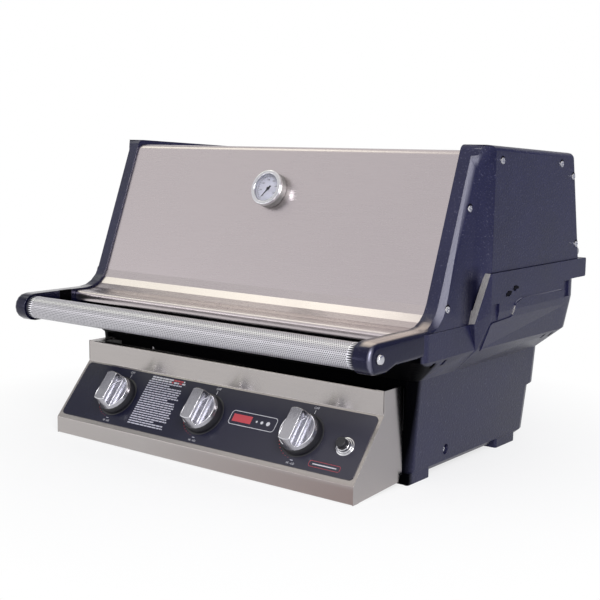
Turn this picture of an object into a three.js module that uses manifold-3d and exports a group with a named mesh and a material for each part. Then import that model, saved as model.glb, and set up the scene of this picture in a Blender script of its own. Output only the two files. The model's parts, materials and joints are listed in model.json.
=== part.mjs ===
// Built-in gas grill: a cast firebox with a hinged stainless hood, a sloping
// control panel with three gas knobs and a push igniter, tube burners, heat
// plates, cooking grids and a slide-out grease tray.
// Millimetres, +X to the viewer's right, +Y to the back, +Z up. The feet and
// the panel's lower edge stand on z = 0, and the grill is centred on x = 0.
import * as THREE from "three";
import { mergeVertices } from "three/addons/utils/BufferGeometryUtils.js";
import Module from "manifold-3d";

const wasm = await Module();
wasm.setup();

// Clearances
const SEAT_GAP = 0.3; // between pieces that rest on each other
const TURN_GAP = 0.2; // round a stem, pin or button that turns or slides
const LID_GAP = 0.6; // between the lid and the firebox rim
const CUT_OVERRUN = 4; // how far a cutting solid runs past what it cuts

// Firebox casting: half widths
const FRONT_HALF_WIDTH = 345;
const REAR_FLARE = 20; // how far the rear corners stand out past the front ones
const FLARE_DRAFT = 10;
const GUSSET_POINT = 1;
const LEDGE_OVERHANG = 31; // how far the upper box stands out past the lower one
const LOWER_DRAFT = 11;
const REAR_HALF_WIDTH = FRONT_HALF_WIDTH + REAR_FLARE;
const FLARE_FOOT_HALF_WIDTH = REAR_HALF_WIDTH - FLARE_DRAFT;
const GUSSET_HALF_WIDTH = FLARE_FOOT_HALF_WIDTH - GUSSET_POINT;
const LOWER_TOP_HALF_WIDTH = FRONT_HALF_WIDTH - LEDGE_OVERHANG;
const LOWER_FOOT_HALF_WIDTH = LOWER_TOP_HALF_WIDTH - LOWER_DRAFT;

// Firebox casting: depths, set back step by step from the upper box
const BOX_DEPTH = 429;
const LOWER_SETBACK = 31;
const LOWER_FRONT_DRAFT = 10;
const REAR_SETBACK = 14;
const STEP_DEPTH = 16;
const STEP_DRAFT = 5;
const RIM_SLOPE_SETBACK = 116.4;
const RIM_SLOPE_RUN = 24.6;
const RIM_FLANGE_REACH = 33;
const GUSSET_LAG = 3;
const GUSSET_TIP_RUN = 5;
const BOX_FRONT = -226; // where the upper box's front face lies
const BOX_REAR = BOX_FRONT + BOX_DEPTH;
const LOWER_FRONT = BOX_FRONT + LOWER_SETBACK;
const LOWER_FOOT_FRONT = LOWER_FRONT + LOWER_FRONT_DRAFT;
const LOWER_REAR = BOX_REAR - REAR_SETBACK;
const STEP_REAR = LOWER_REAR - STEP_DEPTH;
const FOOT_REAR = STEP_REAR - STEP_DRAFT;
const RIM_SLOPE_FRONT = BOX_FRONT + RIM_SLOPE_SETBACK;
const RIM_SLOPE_REAR = RIM_SLOPE_FRONT + RIM_SLOPE_RUN;
const RIM_FLANGE_REAR = BOX_REAR + RIM_FLANGE_REACH;
const GUSSET_REAR = RIM_SLOPE_REAR + GUSSET_LAG;
const GUSSET_TIP = GUSSET_REAR - GUSSET_TIP_RUN;

// Control panel, seen from the side: lip, slope and upright fascia
const PANEL_LIP_HEIGHT = 25.8;
const PANEL_SLOPE_RISE = 83;
const PANEL_SLOPE_RUN = 70;
const FASCIA_HEIGHT = 33.6;
const PANEL_PROUD = 15; // how far the fascia stands out past the box front
const PANEL_SINK = 1.5; // how far the side plates reach into the recess
const PANEL_BREAK_Z = PANEL_LIP_HEIGHT + PANEL_SLOPE_RISE;
const PANEL_TOP = PANEL_BREAK_Z + FASCIA_HEIGHT;
const PANEL_FRONT = BOX_FRONT - PANEL_PROUD;
const PANEL_LIP_Y = PANEL_FRONT - PANEL_SLOPE_RUN;
const PANEL_REAR = LOWER_FRONT + PANEL_SINK;

// Firebox casting: heights, each above the one before it
const PANEL_TOP_GAP = 7.6;
const LEDGE_SLOPE_HEIGHT = 34;
const FRONT_RIM_HEIGHT = 38.5;
const RIM_RISE = 71.5;
const RIM_FLANGE_HEIGHT = 30;
const GUSSET_RISE = 3.5;
const FLARE_RISE = 11;
const FLOOR_BOTTOM = 7;
const FLOOR_CHAMFER = 9;
const STEP_HEIGHT = 90;
const LEDGE_BOTTOM = PANEL_TOP + PANEL_TOP_GAP;
const LEDGE_TOP = LEDGE_BOTTOM + LEDGE_SLOPE_HEIGHT;
const FRONT_RIM_TOP = LEDGE_TOP + FRONT_RIM_HEIGHT;
const REAR_RIM_TOP = FRONT_RIM_TOP + RIM_RISE;
const RIM_FLANGE_BOTTOM = REAR_RIM_TOP - RIM_FLANGE_HEIGHT;
const GUSSET_TOP = FRONT_RIM_TOP + GUSSET_RISE;
const FLARE_TOP = GUSSET_TOP + FLARE_RISE;

// Firebox casting: walls and corners
const CAST_WALL = 7;
const CAST_CORNER = 24;
const LOWER_CORNER = 12;
const RIM_CORNER = 3;

// Feet under the firebox
const FOOT_WIDTH = 46;
const FOOT_RADIUS = 4;
const FRONT_FOOT_SETBACK = 4;
const FRONT_FOOT_LENGTH = 59;
const REAR_FOOT_SETBACK = 38;
const REAR_FOOT_LENGTH = 63;

// Recess in the casting's front for the control panel
const PANEL_RECESS_GAP = 4;

// Small cast features on each side wall, as shares of its depth and height
const PAD_PROUD = 1.6;
const PAD_RADIUS = 5;
const PAD_OUTLINE_SHARES = [
  [0.893, -0.04],
  [0.893, 0.59],
  [0.559, 0.61],
  [0.503, 0.545],
  [0.49, 0.38],
  [0.35, 0.345],
  [0.35, -0.04],
];
const POCKET_DEPTH = 3;
const POCKET_WIDTH = 18;
const POCKET_HEIGHT = 25;
const POCKET_SHARES = [
  [0.371, 0.482],
  [0.909, 0.6],
];
const VENT_SIZE = 8;
const VENT_SHARES = [
  [0.501, 0.755],
  [0.457, 0.7],
];
const NOTCH_SIZE = 8;
const NOTCH_HEIGHT_SHARE = 0.765; // of the ledge's slope
const NOTCH_DEPTH_SHARES = [0.079, 0.147, 0.832, 0.895];
const SIDE_SLOT_WIDTH = 13;
const SIDE_SLOT_HEIGHT = 16;
const SIDE_SLOT_DEPTH_SHARE = 0.31;
const SIDE_SLOT_HEIGHT_SHARE = 0.22; // of the lower box

// Lid end caps
const HOOD_HEIGHT = 251;
const CAP_TOP_FALL = 12; // how much lower the top's rear edge lies
const CAP_FOOT_SETBACK = 33.2;
const CAP_FOOT_RISE = 0.2;
const CAP_SLOPE_RUN = 94.1;
const CAP_REAR_REACH = 14;
const CAP_REAR_RUN = 34;
const CAP_CORNER = 11;
const CAP_FILLET = 46;
const CAP_RIM_WIDTH = 27;
const CAP_RIM_DEPTH = 11;
const CAP_WALL = 6;
const CAP_EDGE_ROUND = 8;
const CAP_SIDE_STEP = 3;
const CAP_FACET_LAG = 5.6;
const CAP_FACET_RUN = 20;
const CAP_WIDE_HALF_WIDTH = REAR_HALF_WIDTH - CAP_SIDE_STEP;
const CAP_FACET_FRONT = RIM_SLOPE_FRONT + CAP_FACET_LAG;
const CAP_FACET_REAR = CAP_FACET_FRONT + CAP_FACET_RUN;
const CAP_FOOT_Y = BOX_FRONT + CAP_FOOT_SETBACK;
const CAP_FOOT_Z = FRONT_RIM_TOP + CAP_FOOT_RISE;
const CAP_FRONT_Y = CAP_FOOT_Y + CAP_SLOPE_RUN;
const CAP_FRONT_Z = FRONT_RIM_TOP + HOOD_HEIGHT;
const CAP_REAR_FOOT = BOX_REAR + CAP_REAR_REACH;
const CAP_REAR_Y = CAP_REAR_FOOT - CAP_REAR_RUN;
const CAP_REAR_Z = CAP_FRONT_Z - CAP_TOP_FALL;

// Hood sheets and the rounded nose along their lower front
const SHEET = 1.4;
const SHEET_RECESS = 3;
const HOOD_TOP_SINK = 8;
const NOSE_REACH = 22;
const NOSE_DROP = 14.5;
const NOSE_RADIUS = 6.5;
const NOSE_LIP = 19;
const HOOD_JOINT_SETBACK = 63;
const HOOD_LAP = 24;
const NOSE_FRONT = BOX_FRONT - NOSE_REACH;
const NOSE_LIP_REAR = NOSE_FRONT + NOSE_LIP;
const NOSE_BOTTOM = FRONT_RIM_TOP - NOSE_DROP;
const HOOD_LEDGE = FRONT_RIM_TOP + LID_GAP + SHEET;
const HOOD_TOP_JOINT = CAP_REAR_Y - HOOD_JOINT_SETBACK;

// Handle and the cap's arms that carry it
const HANDLE_REACH = 85;
const HANDLE_DROP = 16.5;
const HANDLE_RADIUS = 16;
const HANDLE_WALL = 1.4;
const HANDLE_CORE_RADIUS = 12;
const HANDLE_SOCKET = 5;
const BOSS_WALL = 5.5;
const BOLT_RADIUS = 4;
const BOLT_HEAD_RADIUS = 7;
const BOLT_HEAD_HEIGHT = 4.5;
const BOLT_HEAD_ROUND = 3.6;
const BOLT_LENGTH = 44;
const ARM_DROP = 15;
const ARM_CLEARANCE = 1;
const HANDLE_Y = NOSE_FRONT - HANDLE_REACH;
const HANDLE_Z = FRONT_RIM_TOP - HANDLE_DROP;
const BOSS_RADIUS = HANDLE_RADIUS + BOSS_WALL;
const ARM_TOP = HANDLE_Z + BOSS_RADIUS;
const ARM_BOTTOM = HANDLE_Z - ARM_DROP;
const ARM_REAR = BOX_FRONT - ARM_CLEARANCE;

// Lid hinge
const HINGE_BARREL = 8;
const HINGE_RISE = 2;
const HINGE_SETBACK = 1;
const HINGE_INSET = 13;
const HINGE_PIN_RADIUS = 4;
const HINGE_KNUCKLE = 12;
const HINGE_LEAVES = 3;
const HINGE_PIN_HEAD = 6;
const HINGE_PIN_HEAD_LENGTH = 3;
const HINGE_Y = CAP_REAR_FOOT + HINGE_BARREL + HINGE_SETBACK;
const HINGE_Z = REAR_RIM_TOP + HINGE_BARREL + HINGE_RISE;
const HINGE_KNUCKLE_X = FRONT_HALF_WIDTH - HINGE_INSET;

// Thermometer, square to the hood's front
const GAUGE_ALONG_SLOPE = 188;
const GAUGE_RADIUS = 28.6;
const GAUGE_HEIGHT = 18;
const GAUGE_BEZEL = 4.2;
const GAUGE_FLOOR = 9;
const GAUGE_STEM_RADIUS = 4;
const GAUGE_STEM_LENGTH = 58;
const GAUGE_DIAL = 0.8;
const GAUGE_HUB_RADIUS = 2.4;
const GAUGE_POINTER_LENGTH = 17;
const GAUGE_POINTER_ANGLE = 232;
const GAUGE_GLASS = 1.6;
const GAUGE_GLASS_SINK = 1.4;
const GAUGE_NUT_RADIUS = 10;
const GAUGE_NUT_HEIGHT = 6;

// Control panel shell and its label
const PANEL_SIDE_MARGIN = 9; // between the panel's side and the casting's
const PANEL_SHEET = 1.5;
const PANEL_CHAMFER = 9;
const PANEL_SIDE_LIFT = 6.5;
const PANEL_BEND = 2.2;
const PANEL_FLANGE = 13;
const LABEL_THICKNESS = 0.8;
const LABEL_TOP_MARGIN = 3.5;
const LABEL_FOOT_MARGIN = 7.5;
const LABEL_SIDE_MARGIN = 5.5;
const LABEL_CORNER = 7;
const PANEL_HALF_WIDTH = LOWER_FOOT_HALF_WIDTH - PANEL_SIDE_MARGIN;

// Knobs, stems and gas valves
const KNOB_NAMES = ["left", "center", "right"];
const KNOB_INSET = 109.5; // between the panel's side and the outer knobs
const KNOB_ROW_SHIFT = -2.1;
const KNOB_ALONG_SLOPE = 53;
const KNOB_BASE_RADIUS = 32;
const KNOB_RIM_RADIUS = 28;
const KNOB_TOP_RADIUS = 25.6;
const KNOB_EDGE = 1.5;
const KNOB_FOOT_BAND = 3;
const KNOB_RIM_HEIGHT = 14.5;
const KNOB_HEIGHT = 33.5;
const KNOB_GRIP_HALF_WIDTH = 9.8;
const KNOB_WAIST_HALF_WIDTH = 7.8;
const KNOB_WAIST_ROUND = 16;
const KNOB_LIFT = 3.5;
const KNOB_BORE_DEPTH = 14;
const PUSH_TRAVEL = 2.6;
const STEM_RADIUS = 3;
const STEM_KEY = 5.2;
const STEM_HOLE_RADIUS = 5;
const VALVE_RADIUS = 13;
const VALVE_LENGTH = 36;
const VALVE_PLUG_RADIUS = 7;
const VALVE_PLUG_TIP_RADIUS = 4.9;
const VALVE_PLUG_LENGTH = 18;
const VALVE_COLLAR_RADIUS = 9;
const VALVE_COLLAR_LENGTH = 6;
const SPUD_RADIUS = 5;
const SPUD_ENTRY = 2; // how far the spud reaches into the burner's mouth
const KNOB_PITCH = PANEL_HALF_WIDTH - KNOB_INSET;
const KNOB_X = KNOB_NAMES.map((_, i) => KNOB_ROW_SHIFT + KNOB_PITCH * (i - 1));

// Gas manifold
const MANIFOLD_RADIUS = 9.5;
const MANIFOLD_LEFT_REACH = 45.4;
const MANIFOLD_RIGHT_REACH = 25.6;
const INLET_HEX_RADIUS = 13;
const INLET_LENGTH = 30;
const INLET_BORE = 6;
const HEX_SIDES = 6;
const MANIFOLD_ENDS = [KNOB_X[0] - MANIFOLD_LEFT_REACH, KNOB_X[2] + MANIFOLD_RIGHT_REACH];

// Push igniter
const IGNITER_INSET = 37;
const IGNITER_ALONG_SLOPE = 56;
const IGNITER_RING_RADIUS = 11.8;
const IGNITER_RING_HEIGHT = 15;
const IGNITER_RING_FOOT = 5;
const IGNITER_RING_EDGE = 1.4;
const IGNITER_BUTTON_RADIUS = 7.6;
const IGNITER_BUTTON_TOP = 11.5;
const IGNITER_BUTTON_EDGE = 1.4;
const IGNITER_BODY_RADIUS = 11;
const IGNITER_BODY_FOOT_RADIUS = 7.7;
const IGNITER_BODY_LENGTH = 44;
const IGNITER_BODY_TAPER = 8.8;
const IGNITER_BORE_DEPTH = 20;
const IGNITER_TRAVEL = 4;
const IGNITER_X = PANEL_HALF_WIDTH - IGNITER_INSET;

// Ignition electrode
const ELECTRODE_RADIUS = 7;
const ELECTRODE_LENGTH = 44;
const ELECTRODE_GAP = 7.3;
const WIRE_RADIUS = 1.5;
const WIRE_LENGTH = 44;

// Grease tray
const TRAY_INSET = 79;
const TRAY_SETBACK = 46;
const TRAY_HEIGHT = 34;
const TRAY_SHEET = 1.6;
const TRAY_BACK = 4.8;
const TRAY_SLOT_MARGIN = 4;
const TRAY_PLATE_MARGIN = 9;
const TRAY_PULL_WIDTH = 120;
const TRAY_PULL_REACH = 16;
const TRAY_HALF_WIDTH = LOWER_FOOT_HALF_WIDTH - TRAY_INSET;
const TRAY_FLOOR = FLOOR_BOTTOM + CAST_WALL + SEAT_GAP;
const TRAY_TOP = TRAY_FLOOR + TRAY_HEIGHT;

// Burners
const BURNER_RADIUS = 17;
const BURNER_MOUTH_RADIUS = 12;
const BURNER_MOUTH_DEPTH = 24;
const BURNER_MOUTH_REACH = 14.5;
const BURNER_END_GAP = 8;
const BURNER_RISE_RUN = 80;
const BURNER_OVER_TRAY = 46; // from the tray's top to the level tube's axis
const CRADLE_WIDTH = 44;
const CRADLE_DEPTH = 22;
const CRADLE_HEIGHT = 10;
const BURNER_LEVEL = TRAY_TOP + BURNER_OVER_TRAY;

// Heat plates and cooking grids
const HEAT_PLATE_GAP = 4.25;
const HEAT_PLATE_RISE = 22;
const HEAT_PLATE_SHEET = 2;
const HEAT_PLATE_FLAT = 12;
const HEAT_PLATE_SLOTS = 4;
const HEAT_SLOT_SHARE = 0.45; // of the plate's half width
const HEAT_OVER_BURNER = 41.7;
const HEAT_RAIL_DEPTH = 10;
const HEAT_RAIL_HEIGHT = 7;
const GRID_DROP = 25.5; // under the front rim
const GRID_RAIL_DEPTH = 11;
const GRID_RAIL_HEIGHT = 8;
const GRID_HALF_GAP = 1;
const GRID_SIDE_GAP = 13;
const GRID_THICKNESS = 9;
const GRID_FRAME = 10;
const GRID_SLOTS = 13;
const GRID_BAR_SHARE = 0.5;
const HEAT_PLATE_HALF_WIDTH = KNOB_PITCH / 2 - HEAT_PLATE_GAP;
const HEAT_PLATE_Z = BURNER_LEVEL + HEAT_OVER_BURNER;
const GRID_Z = FRONT_RIM_TOP - GRID_DROP;
const GRID_OUTER = FRONT_HALF_WIDTH - CAST_WALL - GRID_SIDE_GAP;

// Brackets that hold the panel to the casting
const BRACKET_LEG = 22;
const BRACKET_SHEET = 2;
const BRACKET_HEIGHT = 60;
const BRACKET_DROP = 4.4;

// How finely forms are divided, and how close points may lie
const ARC_STEPS = 4;
const EDGE_STEPS = 3;
const TURNED_STEPS = 2;
const ROUND_SEGMENTS = 24;
const SMALL_SEGMENTS = 16;
const BURNER_SEGMENTS = 12;
const BURNER_STEPS = 24;
const MERGE_DISTANCE = 1e-4;

const X_AXIS = new THREE.Vector3(1, 0, 0);
const Y_AXIS = new THREE.Vector3(0, 1, 0);
const Z_AXIS = new THREE.Vector3(0, 0, 1);
const QUARTER = Math.PI / 2;
const FULL = Math.PI * 2;

// Materials
const surface = (color, roughness, metalness) =>
  new THREE.MeshStandardMaterial({ color, roughness, metalness });
const POWDER_COAT = surface(0x2b2c3a, 0.5, 0.1);
const BRUSHED_STEEL = surface(0xb4b0b0, 0.35, 1);
const PANEL_STEEL = surface(0xa59f99, 0.3, 1);
const CHROME = surface(0xc8c8cc, 0.1, 1);
const PERFORATED_STEEL = surface(0xc4c4c8, 0.3, 1);
const LABEL_FILM = surface(0x2c2c3c, 0.45, 0);
const BLACK_PLASTIC = surface(0x14141a, 0.4, 0);
const CAST_GRID = surface(0x9a9a9c, 0.5, 0.9);
const BURNER_STEEL = surface(0x8e8a84, 0.4, 1);
const BRASS = surface(0xb08d4a, 0.3, 1);
const DIAL_WHITE = surface(0xe4e4ea, 0.6, 0);
const POINTER_BLACK = surface(0x202024, 0.5, 0);
const LENS = surface(0xf4f8ff, 0.05, 0);
const CERAMIC = surface(0xe8e4dc, 0.4, 0);

// Solids and meshes
function solid(geometry) {
  const bare = geometry.clone();
  bare.deleteAttribute("normal");
  bare.deleteAttribute("uv");
  const merged = mergeVertices(bare, MERGE_DISTANCE);
  const mesh = new wasm.Mesh({
    numProp: 3,
    vertProperties: new Float32Array(merged.attributes.position.array),
    triVerts: new Uint32Array(merged.index.array),
  });
  return new wasm.Manifold(mesh);
}

function named(name, form, material) {
  const mesh = form.getMesh();
  const geometry = new THREE.BufferGeometry();
  geometry.setAttribute("position", new THREE.BufferAttribute(mesh.vertProperties, 3));
  geometry.setIndex(new THREE.BufferAttribute(mesh.triVerts, 1));
  geometry.computeVertexNormals();
  const node = new THREE.Mesh(geometry, material);
  node.name = name;
  return node;
}

function union(forms) {
  return forms.reduce((whole, form) => whole.add(form));
}

function cut(form, tools) {
  return tools.reduce((rest, tool) => rest.subtract(tool), form);
}

function mirrored(form) {
  return form.mirror([1, 0, 0]);
}

// A closed outline from corners [u, v, radius], with each radius as an arc.
function rounded(corners, closed = true, steps = ARC_STEPS) {
  const points = [];
  const count = corners.length;
  corners.forEach(([u, v, radius = 0], i) => {
    const atEnd = !closed && (i === 0 || i === count - 1);
    if (radius === 0 || atEnd) {
      points.push(new THREE.Vector2(u, v));
      return;
    }
    const here = new THREE.Vector2(u, v);
    const before = new THREE.Vector2(...corners[(i + count - 1) % count]);
    const after = new THREE.Vector2(...corners[(i + 1) % count]);
    const back = before.sub(here).normalize();
    const ahead = after.sub(here).normalize();
    const half = Math.acos(THREE.MathUtils.clamp(back.dot(ahead), -1, 1)) / 2;
    const centre = back.clone().add(ahead).normalize().multiplyScalar(radius / Math.sin(half)).add(here);
    const reach = radius / Math.tan(half);
    const start = here.clone().addScaledVector(back, reach).sub(centre);
    const end = here.clone().addScaledVector(ahead, reach).sub(centre);
    const sweep = Math.atan2(start.x * end.y - start.y * end.x, start.dot(end));
    for (let k = 0; k <= steps; k++) {
      const turn = (sweep * k) / steps;
      points.push(start.clone().rotateAround(new THREE.Vector2(), turn).add(centre));
    }
  });
  return points;
}

// The outline of a sheet of the given thickness, laid to the left of a path.
function band(path, thickness) {
  const inner = path.map((point, i) => {
    const before = path[Math.max(i - 1, 0)];
    const after = path[Math.min(i + 1, path.length - 1)];
    const into = i === 0 ? after.clone().sub(point) : point.clone().sub(before);
    const out = i === path.length - 1 ? into.clone() : after.clone().sub(point);
    const normalIn = new THREE.Vector2(-into.y, into.x).normalize();
    const normalOut = new THREE.Vector2(-out.y, out.x).normalize();
    const mitre = normalIn.clone().add(normalOut).normalize();
    return point.clone().addScaledVector(mitre, thickness / mitre.dot(normalIn));
  });
  return [...path, ...inner.reverse()];
}

function circle(u, v, radius, segments = ROUND_SEGMENTS) {
  return Array.from({ length: segments }, (_, i) => {
    const turn = (FULL * i) / segments;
    return new THREE.Vector2(u + radius * Math.cos(turn), v + radius * Math.sin(turn));
  });
}

function rectangle(u0, v0, u1, v1, radius = 0) {
  return rounded([
    [u0, v0, radius],
    [u1, v0, radius],
    [u1, v1, radius],
    [u0, v1, radius],
  ]);
}

function extruded(outline, depth, options = {}) {
  const shape = new THREE.Shape(outline);
  return new THREE.ExtrudeGeometry(shape, { depth, bevelEnabled: false, steps: 1, ...options });
}

// Prisms: the outline lies square to the named axis and runs from one place to the other.
function prismX(outline, from, to) {
  const basis = new THREE.Matrix4().makeBasis(Y_AXIS, Z_AXIS, X_AXIS).setPosition(from, 0, 0);
  return solid(extruded(outline, to - from).applyMatrix4(basis));
}

function prismY(outline, from, to) {
  const basis = new THREE.Matrix4().makeBasis(X_AXIS, Z_AXIS, Y_AXIS.clone().negate()).setPosition(0, to, 0);
  return solid(extruded(outline, to - from).applyMatrix4(basis));
}

function prismZ(outline, from, to) {
  return solid(extruded(outline, to - from).translate(0, 0, from));
}

function block([x0, x1], [y0, y1], [z0, z1]) {
  const box = new THREE.BoxGeometry(x1 - x0, y1 - y0, z1 - z0);
  return solid(box.translate((x0 + x1) / 2, (y0 + y1) / 2, (z0 + z1) / 2));
}

// A solid of revolution about +Z from [radius, height] corners, the first and last on the axis.
function turned(profile, segments = ROUND_SEGMENTS) {
  const lathe = new THREE.LatheGeometry(rounded(profile, false, TURNED_STEPS), segments);
  return solid(lathe.rotateX(QUARTER));
}

// A closed stack of level outlines with the same number of points.
function loft(levels) {
  const count = levels[0].outline.length;
  const positions = levels.flatMap(({ z, outline }) => outline.flatMap(({ x, y }) => [x, y, z]));
  const index = [];
  levels.slice(1).forEach((_, level) => {
    for (let i = 0; i < count; i++) {
      const a = level * count + i;
      const b = level * count + ((i + 1) % count);
      index.push(a, b, b + count, a, b + count, a + count);
    }
  });
  const top = (levels.length - 1) * count;
  THREE.ShapeUtils.triangulateShape(levels[0].outline, []).forEach(([a, b, c]) => index.push(a, c, b));
  THREE.ShapeUtils.triangulateShape(levels[levels.length - 1].outline, []).forEach(([a, b, c]) =>
    index.push(top + a, top + b, top + c),
  );
  const geometry = new THREE.BufferGeometry();
  geometry.setAttribute("position", new THREE.Float32BufferAttribute(positions, 3));
  geometry.setIndex(index);
  return solid(geometry);
}

// Frames that stand square to the sloping panel and to the sloping hood front
const PANEL_SLOPE = new THREE.Vector2(-PANEL_SLOPE_RUN, -PANEL_SLOPE_RISE);
const PANEL_SLOPE_LENGTH = PANEL_SLOPE.length();
const HOOD_SLOPE = new THREE.Vector2(CAP_SLOPE_RUN, CAP_FRONT_Z - CAP_FOOT_Z).normalize();

function panelFrame(x, along) {
  const down = PANEL_SLOPE.clone().normalize();
  const outward = new THREE.Vector3(0, down.y, -down.x);
  const up = new THREE.Vector3(0, -down.x, -down.y);
  return new THREE.Matrix4()
    .makeBasis(X_AXIS, up, outward)
    .setPosition(x, PANEL_FRONT + down.x * along, PANEL_BREAK_Z + down.y * along);
}

function gaugeFrame() {
  const outward = new THREE.Vector3(0, -HOOD_SLOPE.y, HOOD_SLOPE.x);
  const up = new THREE.Vector3(0, HOOD_SLOPE.x, HOOD_SLOPE.y);
  const y = CAP_FOOT_Y + HOOD_SLOPE.x * GAUGE_ALONG_SLOPE + HOOD_SLOPE.y * SHEET_RECESS;
  const z = CAP_FOOT_Z + HOOD_SLOPE.y * GAUGE_ALONG_SLOPE - HOOD_SLOPE.x * SHEET_RECESS;
  return new THREE.Matrix4().makeBasis(X_AXIS, up, outward).setPosition(0, y, z);
}

function placed(form, frame) {
  return form.transform(frame.elements);
}

// Where the valves, the burners' mouths and the manifold meet behind the panel
const VALVE_TOP = -PANEL_SHEET - SEAT_GAP;
const VALVE_HEART = VALVE_TOP - VALVE_LENGTH + VALVE_RADIUS;
const SPUD_PLACE = new THREE.Vector3(0, 0, VALVE_HEART).applyMatrix4(panelFrame(0, KNOB_ALONG_SLOPE));
const MANIFOLD_DEPTH = VALVE_TOP - VALVE_LENGTH - SEAT_GAP - MANIFOLD_RADIUS;
const MANIFOLD_PLACE = new THREE.Vector3(0, 0, MANIFOLD_DEPTH).applyMatrix4(panelFrame(0, KNOB_ALONG_SLOPE));
const RECESS_Y = PANEL_REAR + PANEL_RECESS_GAP;
const PANEL_OUTER = PANEL_HALF_WIDTH + PANEL_RECESS_GAP;
const INNER_FRONT = LOWER_FOOT_FRONT + CAST_WALL;
const BURNER_FRONT = RECESS_Y - BURNER_MOUTH_REACH;
const BURNER_REAR = STEP_REAR - CAST_WALL - BURNER_END_GAP;

// Firebox: plan outlines of the casting at each height
function planOutline({ front, rear, frontHalf, gusset, padFront, rearHalf }, inset) {
  const right = [
    [frontHalf - inset, front + inset, LOWER_CORNER],
    [frontHalf - inset, gusset[1] + inset - GUSSET_POINT],
    [gusset[0] - inset, gusset[1] + inset],
    [padFront[0] - inset, padFront[1] + inset],
    [rearHalf - inset, rear - inset, CAST_CORNER - inset],
  ];
  const left = right.map(([x, y, radius]) => [-x, y, radius]).reverse();
  return rounded([...right, ...left], true, EDGE_STEPS);
}

function lowerLevel(z, rear, shrink, lowerFront, inset) {
  const share = (z - FLOOR_BOTTOM) / (LEDGE_BOTTOM - FLOOR_BOTTOM);
  const half = THREE.MathUtils.lerp(LOWER_FOOT_HALF_WIDTH, LOWER_TOP_HALF_WIDTH, share) - shrink;
  const slopedFront = THREE.MathUtils.lerp(LOWER_FOOT_FRONT, LOWER_FRONT, share);
  const front = (lowerFront ?? slopedFront) + shrink;
  const plan = {
    front,
    rear: rear - shrink,
    frontHalf: half,
    gusset: [half, GUSSET_TIP],
    padFront: [half, GUSSET_REAR],
    rearHalf: half,
  };
  return { z, outline: planOutline(plan, inset) };
}

function upperLevel(z, gusset, padFront, rearHalf, inset) {
  const plan = { front: BOX_FRONT, rear: BOX_REAR, frontHalf: FRONT_HALF_WIDTH, gusset, padFront, rearHalf };
  return { z, outline: planOutline(plan, inset) };
}

function fireboxLevels(inset, lowerFront) {
  const bottom = FLOOR_BOTTOM + inset;
  const chamfer = Math.max(FLOOR_CHAMFER - inset, 0);
  const share = (GUSSET_TOP - LEDGE_TOP) / (FLARE_TOP - LEDGE_TOP);
  const gussetHalf = THREE.MathUtils.lerp(FLARE_FOOT_HALF_WIDTH, REAR_HALF_WIDTH, share);
  const tipHalf = FRONT_HALF_WIDTH + GUSSET_POINT;
  const ledgePad = [tipHalf + GUSSET_POINT, GUSSET_REAR];
  const stepFront = [GUSSET_HALF_WIDTH, RIM_SLOPE_FRONT];
  const wide = REAR_HALF_WIDTH;
  return [
    lowerLevel(bottom, FOOT_REAR, chamfer, lowerFront, inset),
    lowerLevel(bottom + FLOOR_CHAMFER, FOOT_REAR, 0, lowerFront, inset),
    lowerLevel(STEP_HEIGHT - PAD_PROUD - inset, STEP_REAR, 0, lowerFront, inset),
    lowerLevel(STEP_HEIGHT - inset, LOWER_REAR, 0, lowerFront, inset),
    lowerLevel(LEDGE_BOTTOM, LOWER_REAR, 0, lowerFront, inset),
    upperLevel(LEDGE_TOP, [tipHalf, GUSSET_TIP], ledgePad, FLARE_FOOT_HALF_WIDTH, inset),
    upperLevel(GUSSET_TOP, stepFront, [gussetHalf, GUSSET_REAR], gussetHalf, inset),
    upperLevel(FLARE_TOP, stepFront, [wide, GUSSET_REAR], wide, inset),
    upperLevel(REAR_RIM_TOP + CUT_OVERRUN, stepFront, [wide, GUSSET_REAR], wide, inset),
  ];
}

// The line where the firebox ends and the lid begins, from front to back.
function rimLine(rise) {
  return [
    [RIM_SLOPE_FRONT, FRONT_RIM_TOP + rise],
    [RIM_SLOPE_REAR, REAR_RIM_TOP + rise],
  ];
}

// A burner's axis: level through the front wall, up over the tray, level again.
function burnerPath() {
  const at = (y, z) => new THREE.Vector3(0, y, z);
  const low = SPUD_PLACE.z;
  const bend = BURNER_RISE_RUN / 2;
  const riseEnd = INNER_FRONT + BURNER_RISE_RUN;
  const path = new THREE.CurvePath();
  path.add(new THREE.LineCurve3(at(BURNER_FRONT, low), at(INNER_FRONT, low)));
  path.add(
    new THREE.CubicBezierCurve3(
      at(INNER_FRONT, low),
      at(INNER_FRONT + bend, low),
      at(riseEnd - bend, BURNER_LEVEL),
      at(riseEnd, BURNER_LEVEL),
    ),
  );
  path.add(new THREE.LineCurve3(at(riseEnd, BURNER_LEVEL), at(BURNER_REAR, BURNER_LEVEL)));
  return path;
}

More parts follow.
